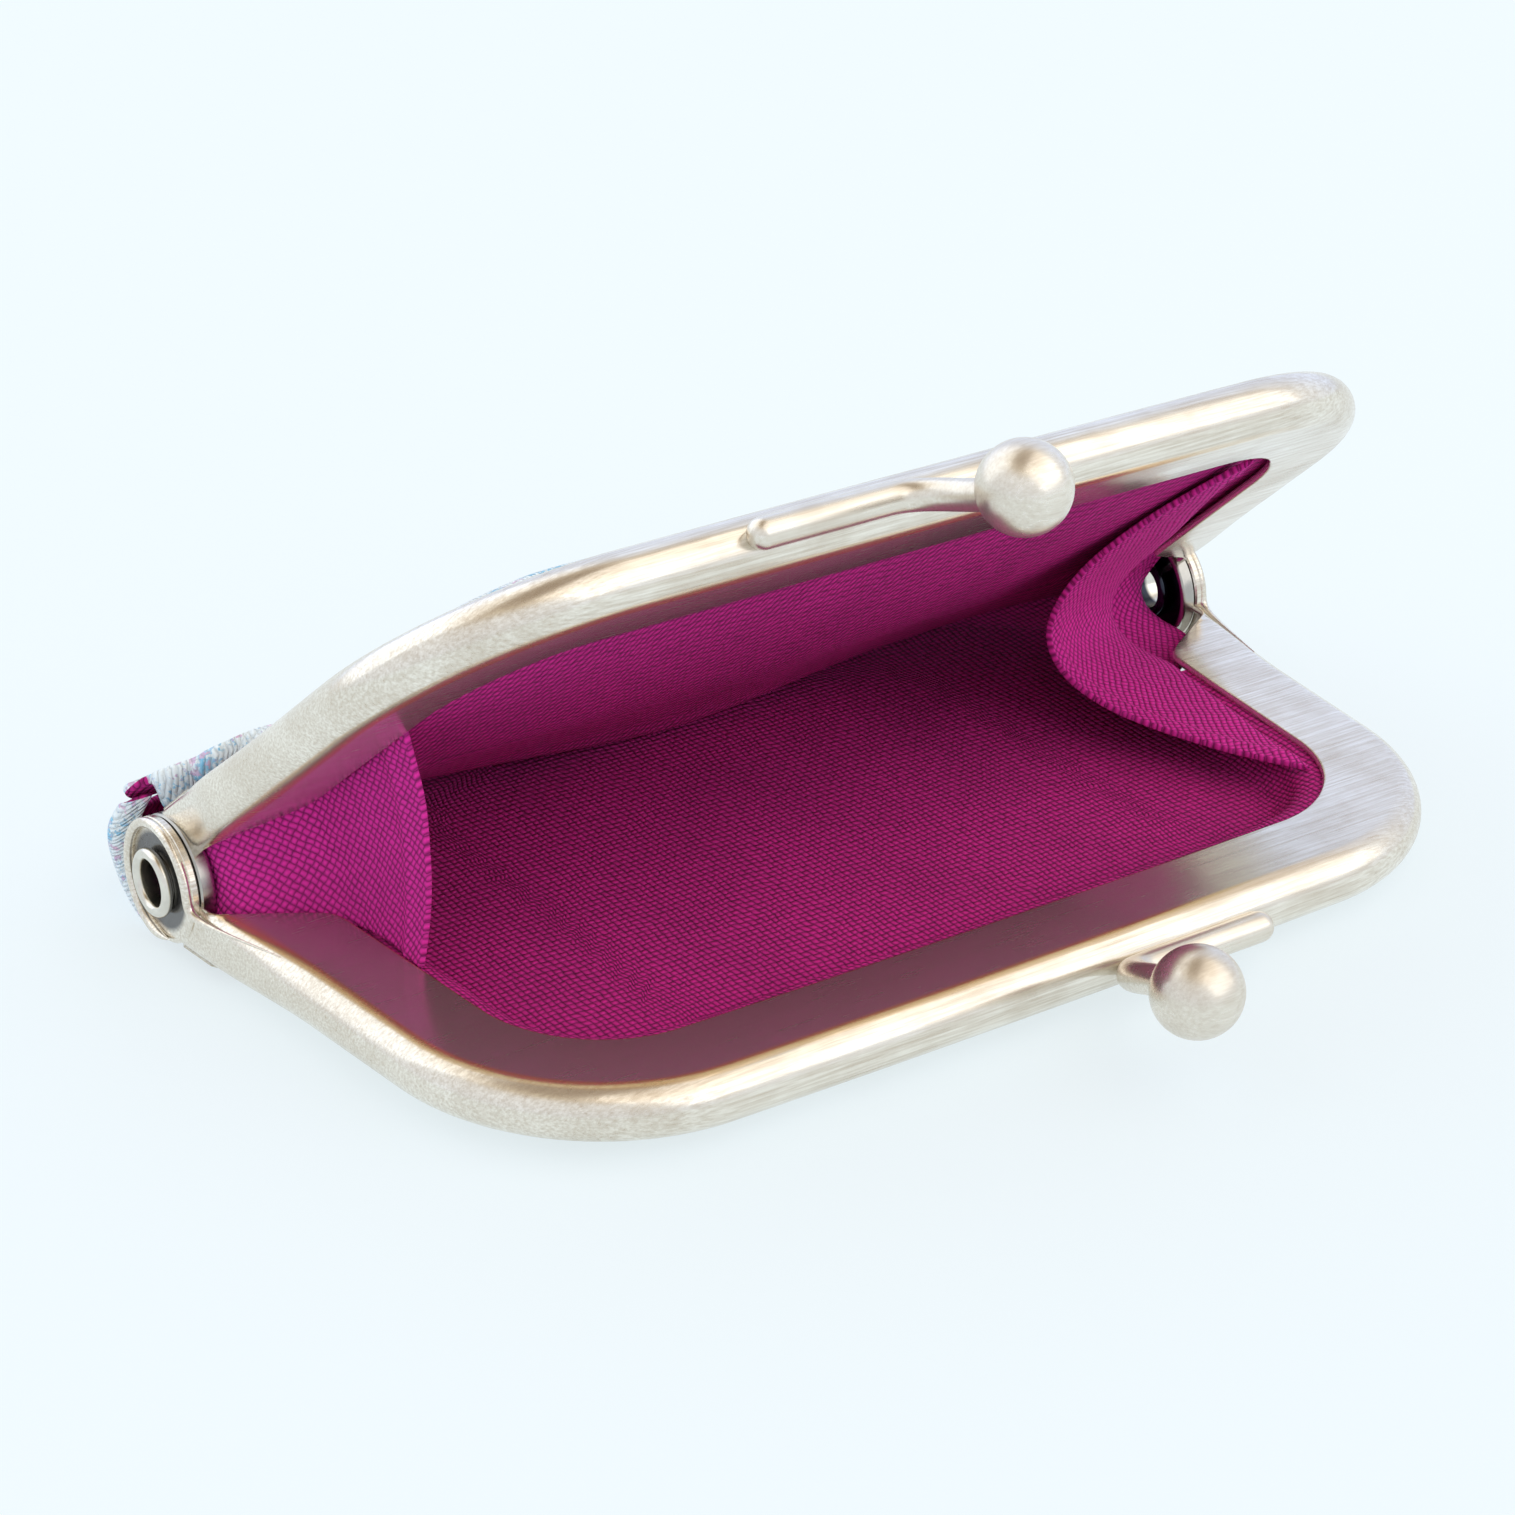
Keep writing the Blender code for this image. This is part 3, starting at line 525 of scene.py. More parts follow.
def brocade_finish(name, ground, blue, pink, pitch):
    """Fine silvery brocade with scattered floats of coloured thread."""
    finish = Finish(name)
    cloth = finish.cloth_map()
    parts = finish.split(cloth)
    wander = finish.noise(cloth, 500.0, 2.0)
    across = parts[0] / pitch + (wander - 0.5) * 1.8
    along = parts[1] / (pitch * 2.2) + (wander - 0.5) * 1.4
    height, parity = woven_height(across, along)
    place = finish.place()
    fields = finish.noise(place, 330.0, 3.0, 0.6)
    flecks = finish.noise(place, 2000.0, 2.0, 0.8)
    rose = finish.noise(place, 500.0, 2.0, 0.6)
    blue_share = finish.mask(fields + (flecks - 0.5) * 0.9, 0.52, 0.62)
    pink_share = finish.mask(rose + (flecks - 0.5) * 0.8, 0.62, 0.70)
    silver_share = finish.mask(flecks, 0.52, 0.66)
    tone = finish.mix(silver_share * 0.5, ground, [0.74 * value for value in ground])
    tone = finish.mix(blue_share * 0.85, tone, blue)
    tone = finish.mix(pink_share * 0.75, tone, pink)
    shaded = finish.mix(height * 0.5 + 0.5, [0.80 * value for value in ground], tone)
    finish.set(
        Base_Color=shaded,
        Roughness=0.68 - parity * 0.26,
        Specular_IOR_Level=0.6,
        Normal=finish.bump(height + flecks * 0.5, 1.0, pitch * 0.5),
    )
    return finish.material


def felt_finish(name, color):
    """Plain pressed interlining with short fibres."""
    finish = Finish(name)
    place = finish.place()
    fibre = finish.noise(place, 2600.0, 4.0, 0.7)
    deep = [0.7 * value for value in color]
    finish.set(Base_Color=finish.mix(fibre, deep, color), Roughness=0.95,
               Normal=finish.bump(fibre, 0.6, 0.08 * mm))
    return finish.material


def cord_finish(name, color, deep):
    """Twisted paper cord with a slanting lay."""
    finish = Finish(name)
    place = finish.place()
    parts = finish.split(place)
    lay = ((parts[0] + parts[1] + parts[2]) * 1400 * math.pi).math("SINE") * 0.5 + 0.5
    fibre = finish.noise(place, 3000.0, 3.0)
    finish.set(Base_Color=finish.mix(lay * 0.6 + fibre * 0.4, deep, color), Roughness=0.9,
               Normal=finish.bump(lay + fibre * 0.3, 0.7, 0.1 * mm))
    return finish.material


def opened(point):
    """Carries a point of the closed upper half to where it lies when open."""
    return Matrix.Rotation(-opening_angle, 3, "X") @ point


def closed(point):
    """Carries a point of the open upper half back to the closed place."""
    return Matrix.Rotation(opening_angle, 3, "X") @ point


def placed(point, side):
    """A point of the closed purse, carried open where it is on the upper side."""
    return opened(point) if side > 0 else point


def smooth_share(value, low, high):
    """A share that rises smoothly from 0 to 1 between two values."""
    way = min(max((value - low) / (high - low), 0), 1)
    return way * way * (3 - 2 * way)


def mouth_stations(start, leg_steps, corner_steps, front_steps):
    """Points and outward directions along a mouth's inner edge, left to right."""
    leg = Vector((leg_slope, 1)).normalized()
    corner = Vector((mouth_half_width_at_front, -mouth_depth))
    half_turn = leg.angle(Vector((-1, 0))) / 2
    tangent = mouth_corner_radius / math.tan(half_turn)
    turn = math.pi - 2 * half_turn
    leg_top = corner + leg * (mouth_depth - start) / leg.y
    leg_foot = corner + leg * tangent
    centre = leg_foot + Vector((-leg.y, leg.x)) * mouth_corner_radius
    half = [leg_top.lerp(leg_foot, step / leg_steps) for step in range(leg_steps)]
    for step in range(corner_steps + 1):
        arm = leg_foot - centre
        arm.rotate(Matrix.Rotation(-turn * step / corner_steps, 2))
        half.append(centre + arm)
    front = half[-1]
    for step in range(1, front_steps // 2 + 1):
        half.append(front.lerp(Vector((0, front.y)), 2 * step / front_steps))
    for point in half:
        reach = min(point.x / mouth_half_width_at_front, 1)
        point.y -= front_bow * (1 - reach**2)
    points = [Vector((-point.x, point.y)) for point in half[:-1]] + half[::-1]
    stations = []
    for index, point in enumerate(points):
        before = points[max(index - 1, 0)]
        after = points[min(index + 1, len(points) - 1)]
        along = (after - before).normalized()
        stations.append((point, Vector((along.y, -along.x))))
    return stations


def arc(centre, radii, first, last, steps, power=1.0):
    """Points along an oval's arc, or along a squarer curve where the power is below 1."""
    points = []
    for step in range(steps + 1):
        angle = first + (last - first) * step / steps
        across = math.copysign(abs(math.cos(angle)) ** power, math.cos(angle))
        up = math.copysign(abs(math.sin(angle)) ** power, math.sin(angle))
        points.append((centre[0] + radii[0] * across, centre[1] + radii[1] * up))
    return points


def add_sweep(bm, rings):
    """Skins a row of equal rings and closes both ends."""
    around = len(rings[0])
    along = len(rings) - 1
    made = bmesh.ops.create_grid(bm, x_segments=around, y_segments=along, size=1)["verts"]
    for vertex in made:
        column = round((vertex.co.x + 1) / 2 * around) % around
        row = round((vertex.co.y + 1) / 2 * along)
        vertex.co = rings[row][column]
    bmesh.ops.remove_doubles(bm, verts=made, dist=merge_distance)
    ends = [edge for edge in bm.edges if edge.is_boundary]
    bmesh.ops.holes_fill(bm, edges=ends, sides=0)


def add_turned(bm, profile, x_side, steps=72):
    """Turns an outline of (place along the hinge, radius) about the hinge axis."""
    ring = [bm.verts.new((x_side * x, 0, radius)) for x, radius in profile]
    edges = [bm.edges.new(pair) for pair in zip(ring, ring[1:] + ring[:1])]
    bmesh.ops.spin(
        bm, geom=ring + edges, axis=(1, 0, 0), cent=(0, 0, 0), angle=2 * math.pi, steps=steps,
        use_merge=True)


def tube_rings(path, radii, sides):
    """Rings round a path, turned as little as possible from one to the next."""
    rings = []
    along = (path[1] - path[0]).normalized()
    across = along.orthogonal().normalized()
    for index, (point, radius) in enumerate(zip(path, radii)):
        ahead = (path[min(index + 1, len(path) - 1)] - path[max(index - 1, 0)]).normalized()
        across = along.rotation_difference(ahead) @ across
        along = ahead
        other = along.cross(across)
        ring = []
        for side in range(sides):
            angle = 2 * math.pi * side / sides
            ring.append(point + radius * (across * math.cos(angle) + other * math.sin(angle)))
        rings.append(ring)
    return rings


def in_scene(name, data):
    """A new object of the scene."""
    made = bpy.data.objects.new(name, data)
    bpy.context.scene.collection.objects.link(made)
    return made


def metal_piece(name, bm, turn, material):
    """Finishes a metal shape, turned about the hinge axis into its place, as an object."""
    bmesh.ops.recalc_face_normals(bm, faces=bm.faces)
    place = Matrix.Translation((0, 0, hinge_height)) @ turn
    bmesh.ops.transform(bm, matrix=place, verts=bm.verts)
    mesh = bpy.data.meshes.new(name)
    bm.to_mesh(mesh)
    bm.free()
    mesh.materials.append(material)
    mesh.shade_smooth()
    mesh.set_sharp_from_angle(angle=sharp_angle)
    return in_scene(name, mesh)


def channel_section(inner, power, shift):
    """The bent sheet's outline, as (outwards, off the parting plane), from its inner edges out."""
    near = closed_gap / 2
    far = near + channel_height
    middle = near + rim_radius
    edge = brass_thickness / 2
    lap = inner + edge
    quarter = math.pi / 2
    crest = rim_radius + shift
    inside = rim_radius - brass_thickness
    lip = arc((lap, near + edge), (edge, edge), quarter, 3 * quarter, lip_steps)
    rim = arc((flat_width, middle), (crest, rim_radius), -quarter, quarter, rim_steps, power)
    rim += arc((lap, far - edge), (edge, edge), quarter, 3 * quarter, lip_steps)
    rim += arc(
        (flat_width, middle), (crest - brass_thickness, inside), quarter, -quarter,
        inner_rim_steps, power)
    return lip + [(max(u, lap), depth) for u, depth in rim]


def channel_rings(side, ear_shift):
    """Rings of the channel's section, from one hinge round the mouth to the other."""
    rings = []
    for point, outward in mouth_stations(channel_start, *channel_steps):
        away = -point.y
        shift = ear_shift * (1 - smooth_share(away, ear_shift_start, full_flat_distance))
        widest = crest_offset + shift - flat_end_depth
        open_share = 1 - (away - leg_start) / (full_flat_distance - leg_start)
        slope = min(widest * open_share / flat_end_softness, exponent_limit)
        inner = min(flat_end_softness * math.log(1 + math.exp(slope)), widest)
        square = 1 - smooth_share(away, leg_start, side_flat_start)
        power = 1 - (1 - side_square_power) * square
        ring = []
        for u, depth in channel_section(inner, power, shift):
            place = point + outward * u
            ring.append(Vector((place.x, place.y, side * depth)))
        rings.append(ring)
    return rings


def ear_profile(inner_face, outer_face, has_lip):
    """An ear's outline turned about the hinge axis, as (place along it, radius)."""
    bore = rivet_bore_radius + rivet_wall + running_clearance
    way = math.copysign(1, outer_face - inner_face)
    cut = way * ear_edge
    outline = [
        (inner_face, bore), (inner_face, ear_radius - ear_edge), (inner_face + cut, ear_radius)]
    if has_lip:
        top = outer_face + way * ear_lip_height
        round_radius = ear_lip_width / 2
        middle = (top - way * round_radius, ear_radius - round_radius)
        lip = arc(
            middle, (way * round_radius, round_radius), math.pi / 2, -math.pi / 2, ear_lip_steps)
        outline += lip + [(outer_face, ear_radius - ear_lip_width)]
    else:
        outline += [(outer_face - cut, ear_radius), (outer_face, ear_radius - ear_edge)]
    outline.append((outer_face, bore))
    return outline


def bead_path(side):
    """The raised bead round the lower ear, which runs on into the leg's upper edge."""
    face = ear_parting + ear_play / 2 + ear_thickness + bead_radius * bead_stand_off
    ring = ear_radius - bead_radius * bead_ring_share
    path = []
    for step in range(bead_ring_steps + 1):
        swept = (bead_start_angle - bead_end_angle) * step / bead_ring_steps
        angle = (bead_start_angle - swept) * degree
        path.append(Vector((face, -ring * math.cos(angle), ring * math.sin(angle))))
    guides = path[-2:]
    for inwards, ahead, height in bead_run_on:
        guides.append(Vector((face - inwards * mm, -ring - ahead * mm, height * mm)))
    first = 1 / (len(guides) - 1)
    for step in range(1, bead_leg_steps + 1):
        path.append(smooth_line(guides, first + (1 - first) * step / bead_leg_steps))
    radii = []
    for index in range(len(path)):
        start = smooth_share(index, -1, bead_start_steps)
        end = 1 - smooth_share(index, bead_ring_steps + 2, len(path))
        radii.append(bead_radius * min(start, bead_tip_share + (1 - bead_tip_share) * end))
    return [Vector((side * point.x, point.y, point.z)) for point in path], radii


def stem_path():
    """The lower clasp stem's middle line and radii, from its rounded end into the ball."""
    crest = mouth_depth + front_bow + crest_offset
    ball_reach = crest + ball_overhang
    line_y = -(crest + stem_diameter / 2 - stem_sink)
    line_z = -(closed_gap + channel_height) / 2
    ball = Vector((ball_offset, -ball_reach, ball_rise))
    start = Vector((stem_end_offset, line_y, line_z))
    bend = Vector((stem_bend_offset, line_y, line_z))
    turn = Vector((ball_offset, line_y, line_z))
    rise = Vector((ball_offset, (line_y - ball_reach) / 2, ball_rise / 2))
    radius = stem_diameter / 2
    path = []
    radii = []
    for step in range(stem_end_steps + 1):
        angle = math.pi / 2 * step / stem_end_steps
        inwards = 1 - math.cos(angle)
        path.append(start.lerp(bend, inwards * radius / (start - bend).length))
        radii.append(radius * math.sin(angle))
    path[0] = start
    rounded = path[-1]
    for step in range(1, stem_straight_steps):
        path.append(rounded.lerp(bend, step / stem_straight_steps))
    for step in range(stem_bend_steps + 1):
        share = step / stem_bend_steps
        first = bend.lerp(turn, share).lerp(turn.lerp(rise, share), share)
        second = turn.lerp(rise, share).lerp(rise.lerp(ball, share), share)
        path.append(first.lerp(second, share))
    radii += [radius] * (len(path) - len(radii))
    return path, radii, ball


def curve_point(start, end, leaving, arriving, way):
    """A point of the smooth curve between two points with the given directions."""
    bend = 3 * (end - start) - 2 * leaving - arriving
    close = 2 * (start - end) + leaving + arriving
    return start + leaving * way + bend * way**2 + close * way**3


def smooth_line(points, share):
    """A point of the smooth curve through a few guide points."""
    pieces = len(points) - 1
    index = min(int(share * pieces), pieces - 1)
    way = share * pieces - index
    start = points[index]
    end = points[index + 1]
    leaving = (end - points[max(index - 1, 0)]) / 2
    arriving = (points[min(index + 2, pieces)] - start) / 2
    return curve_point(start, end, leaving, arriving, way)


def fair_tangent(before, point, after):
    """The direction of a fair curve at a point, for a unit of its length."""
    first = (point - before).length
    second = (after - point).length
    both = first + second
    if first < merge_distance or second < merge_distance:
        return (after - before) / max(both, merge_distance)
    return ((point - before) / first * second + (after - point) / second * first) / both


def fair_line(points, shares):
    """Points of a fair curve through guide points that can lie unevenly apart."""
    last = len(points) - 1
    tangents = []
    for index, point in enumerate(points):
        before = points[max(index - 1, 0)]
        after = points[min(index + 1, last)]
        tangents.append(fair_tangent(before, point, after))
    made = []
    for share in shares:
        index = min(int(share * last), last - 1)
        way = share * last - index
        start = points[index]
        end = points[index + 1]
        length = (end - start).length
        leaving = tangents[index] * length
        arriving = tangents[index + 1] * length
        made.append(curve_point(start, end, leaving, arriving, way))
    return made


def fine_rows(rows, across, along):
    """Many rows of a smooth surface through a few rows of guide points."""
    ways_across = [column / across for column in range(across + 1)]
    ways_along = [row / along for row in range(along + 1)]
    wide = [fair_line(row, ways_across) for row in rows]
    columns = [fair_line(column, ways_along) for column in zip(*wide)]
    return [list(row) for row in zip(*columns)]


def above(rows, floor):
    """Rows whose points go no lower than a floor."""
    return [[Vector((point.x, point.y, max(point.z, floor))) for point in row] for row in rows]


def cloth_piece(name, rows, thickness, material, flat_rows, relief=None, back_material=None):
    """A cloth sheet through rows of points, with its own flat map and a real thickness.

    The back, which its faces turn away from, can have a material of its own.
    """
    mesh = bpy.data.meshes.new(name)
    bm = bmesh.new()
    across = len(rows[0]) - 1
    along = len(rows) - 1
    bmesh.ops.create_grid(bm, x_segments=across, y_segments=along, size=1)
    flat = {}
    for vertex in bm.verts:
        column = round((vertex.co.x + 1) / 2 * across)
        row = round((vertex.co.y + 1) / 2 * along)
        vertex.co = rows[row][column]
        flat[vertex] = flat_rows[row][column]
    layer = bm.loops.layers.uv.new("cloth")
    for face in bm.faces:
        for loop in face.loops:
            loop[layer].uv = flat[loop.vert]
    if relief:
        bm.normal_update()
        for vertex in bm.verts:
            vertex.co += vertex.normal * relief(vertex.co, flat[vertex])
    for vertex in bm.verts:
        vertex.co.z += hinge_height
    bm.to_mesh(mesh)
    bm.free()
    mesh.materials.append(material)
    mesh.shade_smooth()
    piece = in_scene(name, mesh)
    solid = piece.modifiers.new("thickness", "SOLIDIFY")
    solid.thickness = thickness
    solid.offset = 0
    if back_material:
        mesh.materials.append(back_material)
        solid.material_offset = 1
    rounding = piece.modifiers.new("smooth", "SUBSURF")
    rounding.levels = 1
    rounding.render_levels = 1
    return piece


def bag_edge(half_width, front, back, hinge_z, back_z, share):
    """A point of the bag's rounded outline, which is lowest at the back."""
    angle = math.pi * share
    return Vector((
        -half_width * math.cos(angle),
        front + (back - front) * math.sin(angle) ** outline_power,
        back_z + (hinge_z - back_z) * (1 - math.sin(angle)) ** 2,
    ))


def cloth_stations():
    """Where the cloth's columns leave the mouth, and how far round the bag each one ends."""
    stations = mouth_stations(tuck_start, *cloth_steps)
    for end, neighbour, place in ((0, 1, 1), (-1, -2, -1)):
        point, outward = stations[end]
        beside = point.lerp(stations[neighbour][0], end_column_share)
        stations.insert(place, (beside, outward))
    lengths = [0.0]
    for (before, _), (after, _) in zip(stations, stations[1:]):
        lengths.append(lengths[-1] + (after - before).length)
    last = len(stations) - 1
    shares = []
    for index, length in enumerate(lengths):
        shares.append(0.5 * index / last + 0.5 * length / lengths[-1])
    return stations, shares


def mouth_rows(stations, side, steps):
    """Rows beside the mouth's edge, from (offset outwards, distance off the plane)."""
    rows = []
    for offset, level in steps:
        row = []
        for point, outward in stations:
            spot = Vector((*(point + outward * offset), side * level))
            row.append(placed(spot, side))
        rows.append(row)
    return rows


def ends_turned(row, share):
    """Turns a row's two ends in behind the ears."""
    inwards = end_return * share
    row[0] += inwards
    row[-1] += Vector((-inwards.x, inwards.y, 0))
    return row


def crossing_row(first, last, shares, side, level):
    """A row straight across the bag, just in front of the hinge line."""
    row = []
    for share in shares:
        away = 1 - 2 * share
        x = -math.copysign(crossing_half_width * abs(away) ** crossing_power, away)
        row.append(placed(Vector((x, -crossing_distance, side * level)), side))
    row[0] = first[0].lerp(last[0], 0.5)
    row[-1] = first[-1].lerp(last[-1], 0.5)
    return row


def rows_between(first, last, count, swell=0.0, shares=()):
    """Rows that run evenly from one row to another, swollen at the sides midway."""
    rows = []
    for step in range(1, count + 1):
        way = step / (count + 1)
        arch = 4 * way * (1 - way)
        row = []
        for index, (start, end) in enumerate(zip(first, last)):
            point = start.lerp(end, way)
            if swell:
                middle = math.sin(math.pi * shares[index])
                point.x += math.copysign(swell * arch * (1 - middle) ** 2, point.x)
            row.append(point)
        rows.append(row)
    return rows


def landing_row(crossing, edge, shares, height):
    """Where the upper half's cloth comes down to lie on the lower half's."""
    row = []
    slope = math.tan(opening_angle)
    for start, end, share in zip(crossing, edge, shares):
        beside = start.lerp(end, landing_share)
        flat = Vector((beside.x, start.y + (start.z - height) / slope, height))
        row.append(beside.lerp(flat, math.sin(math.pi * share) ** landing_power))
    return row


def lower_rows(level, floor, wall, sizes):
    """Guide rows of a layer from the lower channel, over the floor and up the bag's side."""
    half_width, front, back, hinge_rise, back_rise = sizes
    stations, shares = cloth_stations()
    turn = turn_out + (outer_level - level) / 2
    drop = (level - floor) / 2
    steps = [
        (tuck_depth, level), (-turn, level), (-turn - turn_out, drop),
        (-turn - 3 * turn_out, -floor)]
    mouth = mouth_rows(stations, -1, steps)
    side = []
    for width, ahead, depth, hinge_up, back_up, turned in wall:
        edge = (half_width * width, front * ahead, back * depth,
                floor + hinge_rise * hinge_up, floor + back_rise * back_up)
        side.append(ends_turned([bag_edge(*edge, share) for share in shares], turned))
    crossing = crossing_row(mouth[-1], side[0], shares, -1, -floor)
    for end in (0, -1):
        corner = mouth[-2][end].lerp(crossing[end], crossing_corner_share)
        mouth[-1][end] = Vector((corner.x, corner.y, floor))
    floor_front = rows_between(mouth[-1], crossing, 2)
    floor_back = rows_between(crossing, side[0], 2)
    return mouth + floor_front + [crossing] + floor_back + side


def sides_tucked(rows, start):
    """Adds an end to each side of every row, which turns down behind the leg towards the hinge."""
    last = len(rows) - 1
    made = []
    for index, row in enumerate(rows):
        if index < start:
            left = row[0].lerp(row[1], -end_overrun)
            right = row[-1].lerp(row[-2], -end_overrun)
        else:
            tuck = side_tuck * smooth_share(index, start - 1, last - 1)
            left = row[0] + tuck
            right = row[-1] + Vector((-tuck.x, tuck.y, tuck.z))
        made.append([left, *row, right])
    return made


def upper_rows(level, over, edge_sizes, height, swell, turned):
    """Guide rows of a layer from the upper channel, down to the lower one and out to the seam."""
    stations, shares = cloth_stations()
    turn = turn_out + (outer_level - level) / 2
    steps = [(tuck_depth, level), (-turn, level), (-turn - turn_out, over)]
    mouth = mouth_rows(stations, 1, steps)
    edge = ends_turned([bag_edge(*edge_sizes, share) for share in shares], turned)
    crossing = crossing_row(mouth[-1], edge, shares, 1, over)
    landing = landing_row(crossing, edge, shares, height)
    front = rows_between(mouth[-1], crossing, 2)
    middle = rows_between(crossing, landing, 2, swell, shares)
    back = rows_between(landing, edge, 2, swell, shares)
    rows = mouth + front + [crossing] + middle + [landing] + back + [edge]
    if turned:
        return sides_tucked(rows, len(mouth))
    for row, depth in zip(front + [crossing] + middle, sag_shares):
        for point, share in zip(row, shares):
            point.z -= inner_sag * depth * math.sin(math.pi * share)
    return rows


def flat_lower(point):
    """The lower cloth's flat place of a point, with the wall laid outwards."""
    outward = Vector((point.x / bag_half_width, max(point.y, 0) / bag_back))
    if outward.length < flat_middle_share:
        return (point.x, point.y)
    rise = (point.z - outer_floor) * outward.normalized()
    return (point.x + rise.x, point.y + rise.y)


def flat_upper(point):
    """The upper cloth's flat place of a point, unrolled over the bend at the hinge."""
    flat = closed(point)
    if flat.y < -crossing_distance:
        return (flat.x, flat.y)
    bend = opened(Vector((0, -crossing_distance, outer_level)))
    return (flat.x, math.hypot(point.y - bend.y, point.z - bend.z) - crossing_distance)


def flat_slack(point):
    """The upper lining's flat place of a point, with the weave let out along the bag."""
    x, y = flat_upper(point)
    return (x, y * canvas_slack)


def flat_grid(rows, flatten):
    """The flat place of every point of a sheet."""
    return [[flatten(point) for point in row] for row in rows]


def flat_strip(rows):
    """The flat places of a folded strip, measured along its rows and its middle."""
    flat = []
    length = 0.0
    middle = len(rows[0]) // 2
    for index, row in enumerate(rows):
        if index:
            length += (row[middle] - rows[index - 1][middle]).length
        width = -sum((after - before).length for before, after in zip(row, row[1:middle + 1]))
        places = []
        for before, point in zip([row[0], *row], row):
            width += (point - before).length
            places.append((width, length))
        flat.append(places)
    return flat


def soft_folds(size, amount, seed):
    """Gentle unevenness of cloth, from seeded noise."""
    offset = Vector((seed * 17.0, seed * 5.0, seed * 3.0))

    def height(point, flat):
        return amount * noise.noise(point / size + offset)

    return height


def hem_relief(band, lift, folds):
    """A turned hem along a sheet's first edge, with its ridge, over the cloth's own folds."""

    def height(point, flat):
        along = flat[1]
        fade = smooth_share(along, band - hem_fade_before, band + hem_fade_after)
        doubled = lift * (1 - fade)
        past = (along - band + hem_ridge_inset) / hem_ridge_width
        ridge = 0.5 * lift * math.exp(-past ** 2)
        return doubled + ridge + folds(point, flat)

    return height


def mouth_edge_x(distance):
    """Half the mouth's width at a distance in front of the hinge line."""
    right = [point for point, _ in mouth_stations(leg_start, *edge_steps)]
    right = right[len(right) // 2:]
    for near, far in zip(right, right[1:]):
        if -distance <= far.y:
            return near.lerp(far, (-distance - near.y) / (far.y - near.y)).x
    return mouth_half_width_at_hinge


def gusset_rows(x_side, hem_distance, hem_top_distance, fold, rows, columns):
    """Rows of a side gusset, folded inwards between the two legs, from the hem to the back."""
    level = closed_gap / 2 + lining_cloth
    low_z = lining_floor * gusset_low_share
    side_x = ear_parting - gusset_ear_gap
    back = Vector((side_x, 0, low_z)) + gusset_back
    tucked = level + gusset_tuck.z
    edges = []
    for side, hem in ((-1, hem_distance), (1, hem_top_distance)):
        places = (
            (mouth_edge_x(hem) - gusset_inset, hem, level),
            (mouth_edge_x(tuck_start) - gusset_inset, tuck_start, level),
            (mouth_edge_x(full_flat_distance) - gusset_inset + gusset_tuck.x,
             full_flat_distance, tucked),
            (side_x + gusset_tuck.x, gusset_web_distance, tucked),
        )
        edges.append([placed(Vector((x, -away, side * z)), side) for x, away, z in places])
    lower, upper = edges
    lower += [Vector((side_x + gusset_inset, 0, low_z)), back]
    upper += [Vector((side_x + gusset_inset, 0, gusset_top)), back + Vector((0, 0, pocket_gap))]
    reach = fold - lower[0].lerp(upper[0], 0.5)
    spread = (upper[0] - lower[0]).length
    folds = []
    for low, high in zip(lower, upper):
        depth = ((high - low).length / spread) ** gusset_fold_power
        folds.append(low.lerp(high, 0.5) + reach * depth)
    made = []
    for row in range(rows + 1):
        share = (row / rows) ** gusset_row_power
        low = smooth_line(lower, share)
        high = smooth_line(upper, share)
        pull = 2 * smooth_line(folds, share) - (low + high) / 2
        points = []
        for column in range(columns + 1):
            way = column / columns
            point = low.lerp(pull, way).lerp(pull.lerp(high, way), way)
            points.append(Vector((point.x * x_side, point.y, point.z)))
        made.append(points)
    return made


def colour_setting(name, description, default):
    """A colour that a user can change."""
    return FloatVectorProperty(
        name=name, description=description, subtype="COLOR", default=default, min=0, max=1)


def pitch_setting(name, description, default):
    """A distance between threads that a user can change."""
    return FloatProperty(
        name=name, description=description, unit="LENGTH", default=default, min=0.1 * mm,
        max=2 * mm)


def power_setting(name, description, default):
    """A lamp's power that a user can change."""
    return FloatProperty(
        name=name, description=description, unit="POWER", default=default, min=0, max=20)


class PurseBrassSettings(bpy.types.PropertyGroup):
    """Colours and finish of the brass."""

    brass: colour_setting("Brass", "Colour of the frame and clasp", (0.90, 0.86, 0.77))
    shade: colour_setting(
        "Aged brass", "Colour of the worn and brushed streaks", (0.42, 0.32, 0.21))
    rivet: colour_setting("Rivet", "Colour of the rivets", (0.90, 0.86, 0.76))
    # Near-black painted shade and dark reflection for the ears' hidden faces and the hinge recess,
    # also the darkest tone of the ears' random wear
    patina_and_shade: colour_setting("Patina", "Colour of the ears' hidden faces", (0.035, 0.04, 0.055))
    # A painted reflection: the gold line along the bend between flange and rim
    bend_reflection: colour_setting(
        "Bend", "Colour of the bend between flange and rim", (0.80, 0.50, 0.16))
    roughness: FloatProperty(
        name="Roughness", description="How matt the brushed brass is", default=0.2, min=0, max=1)


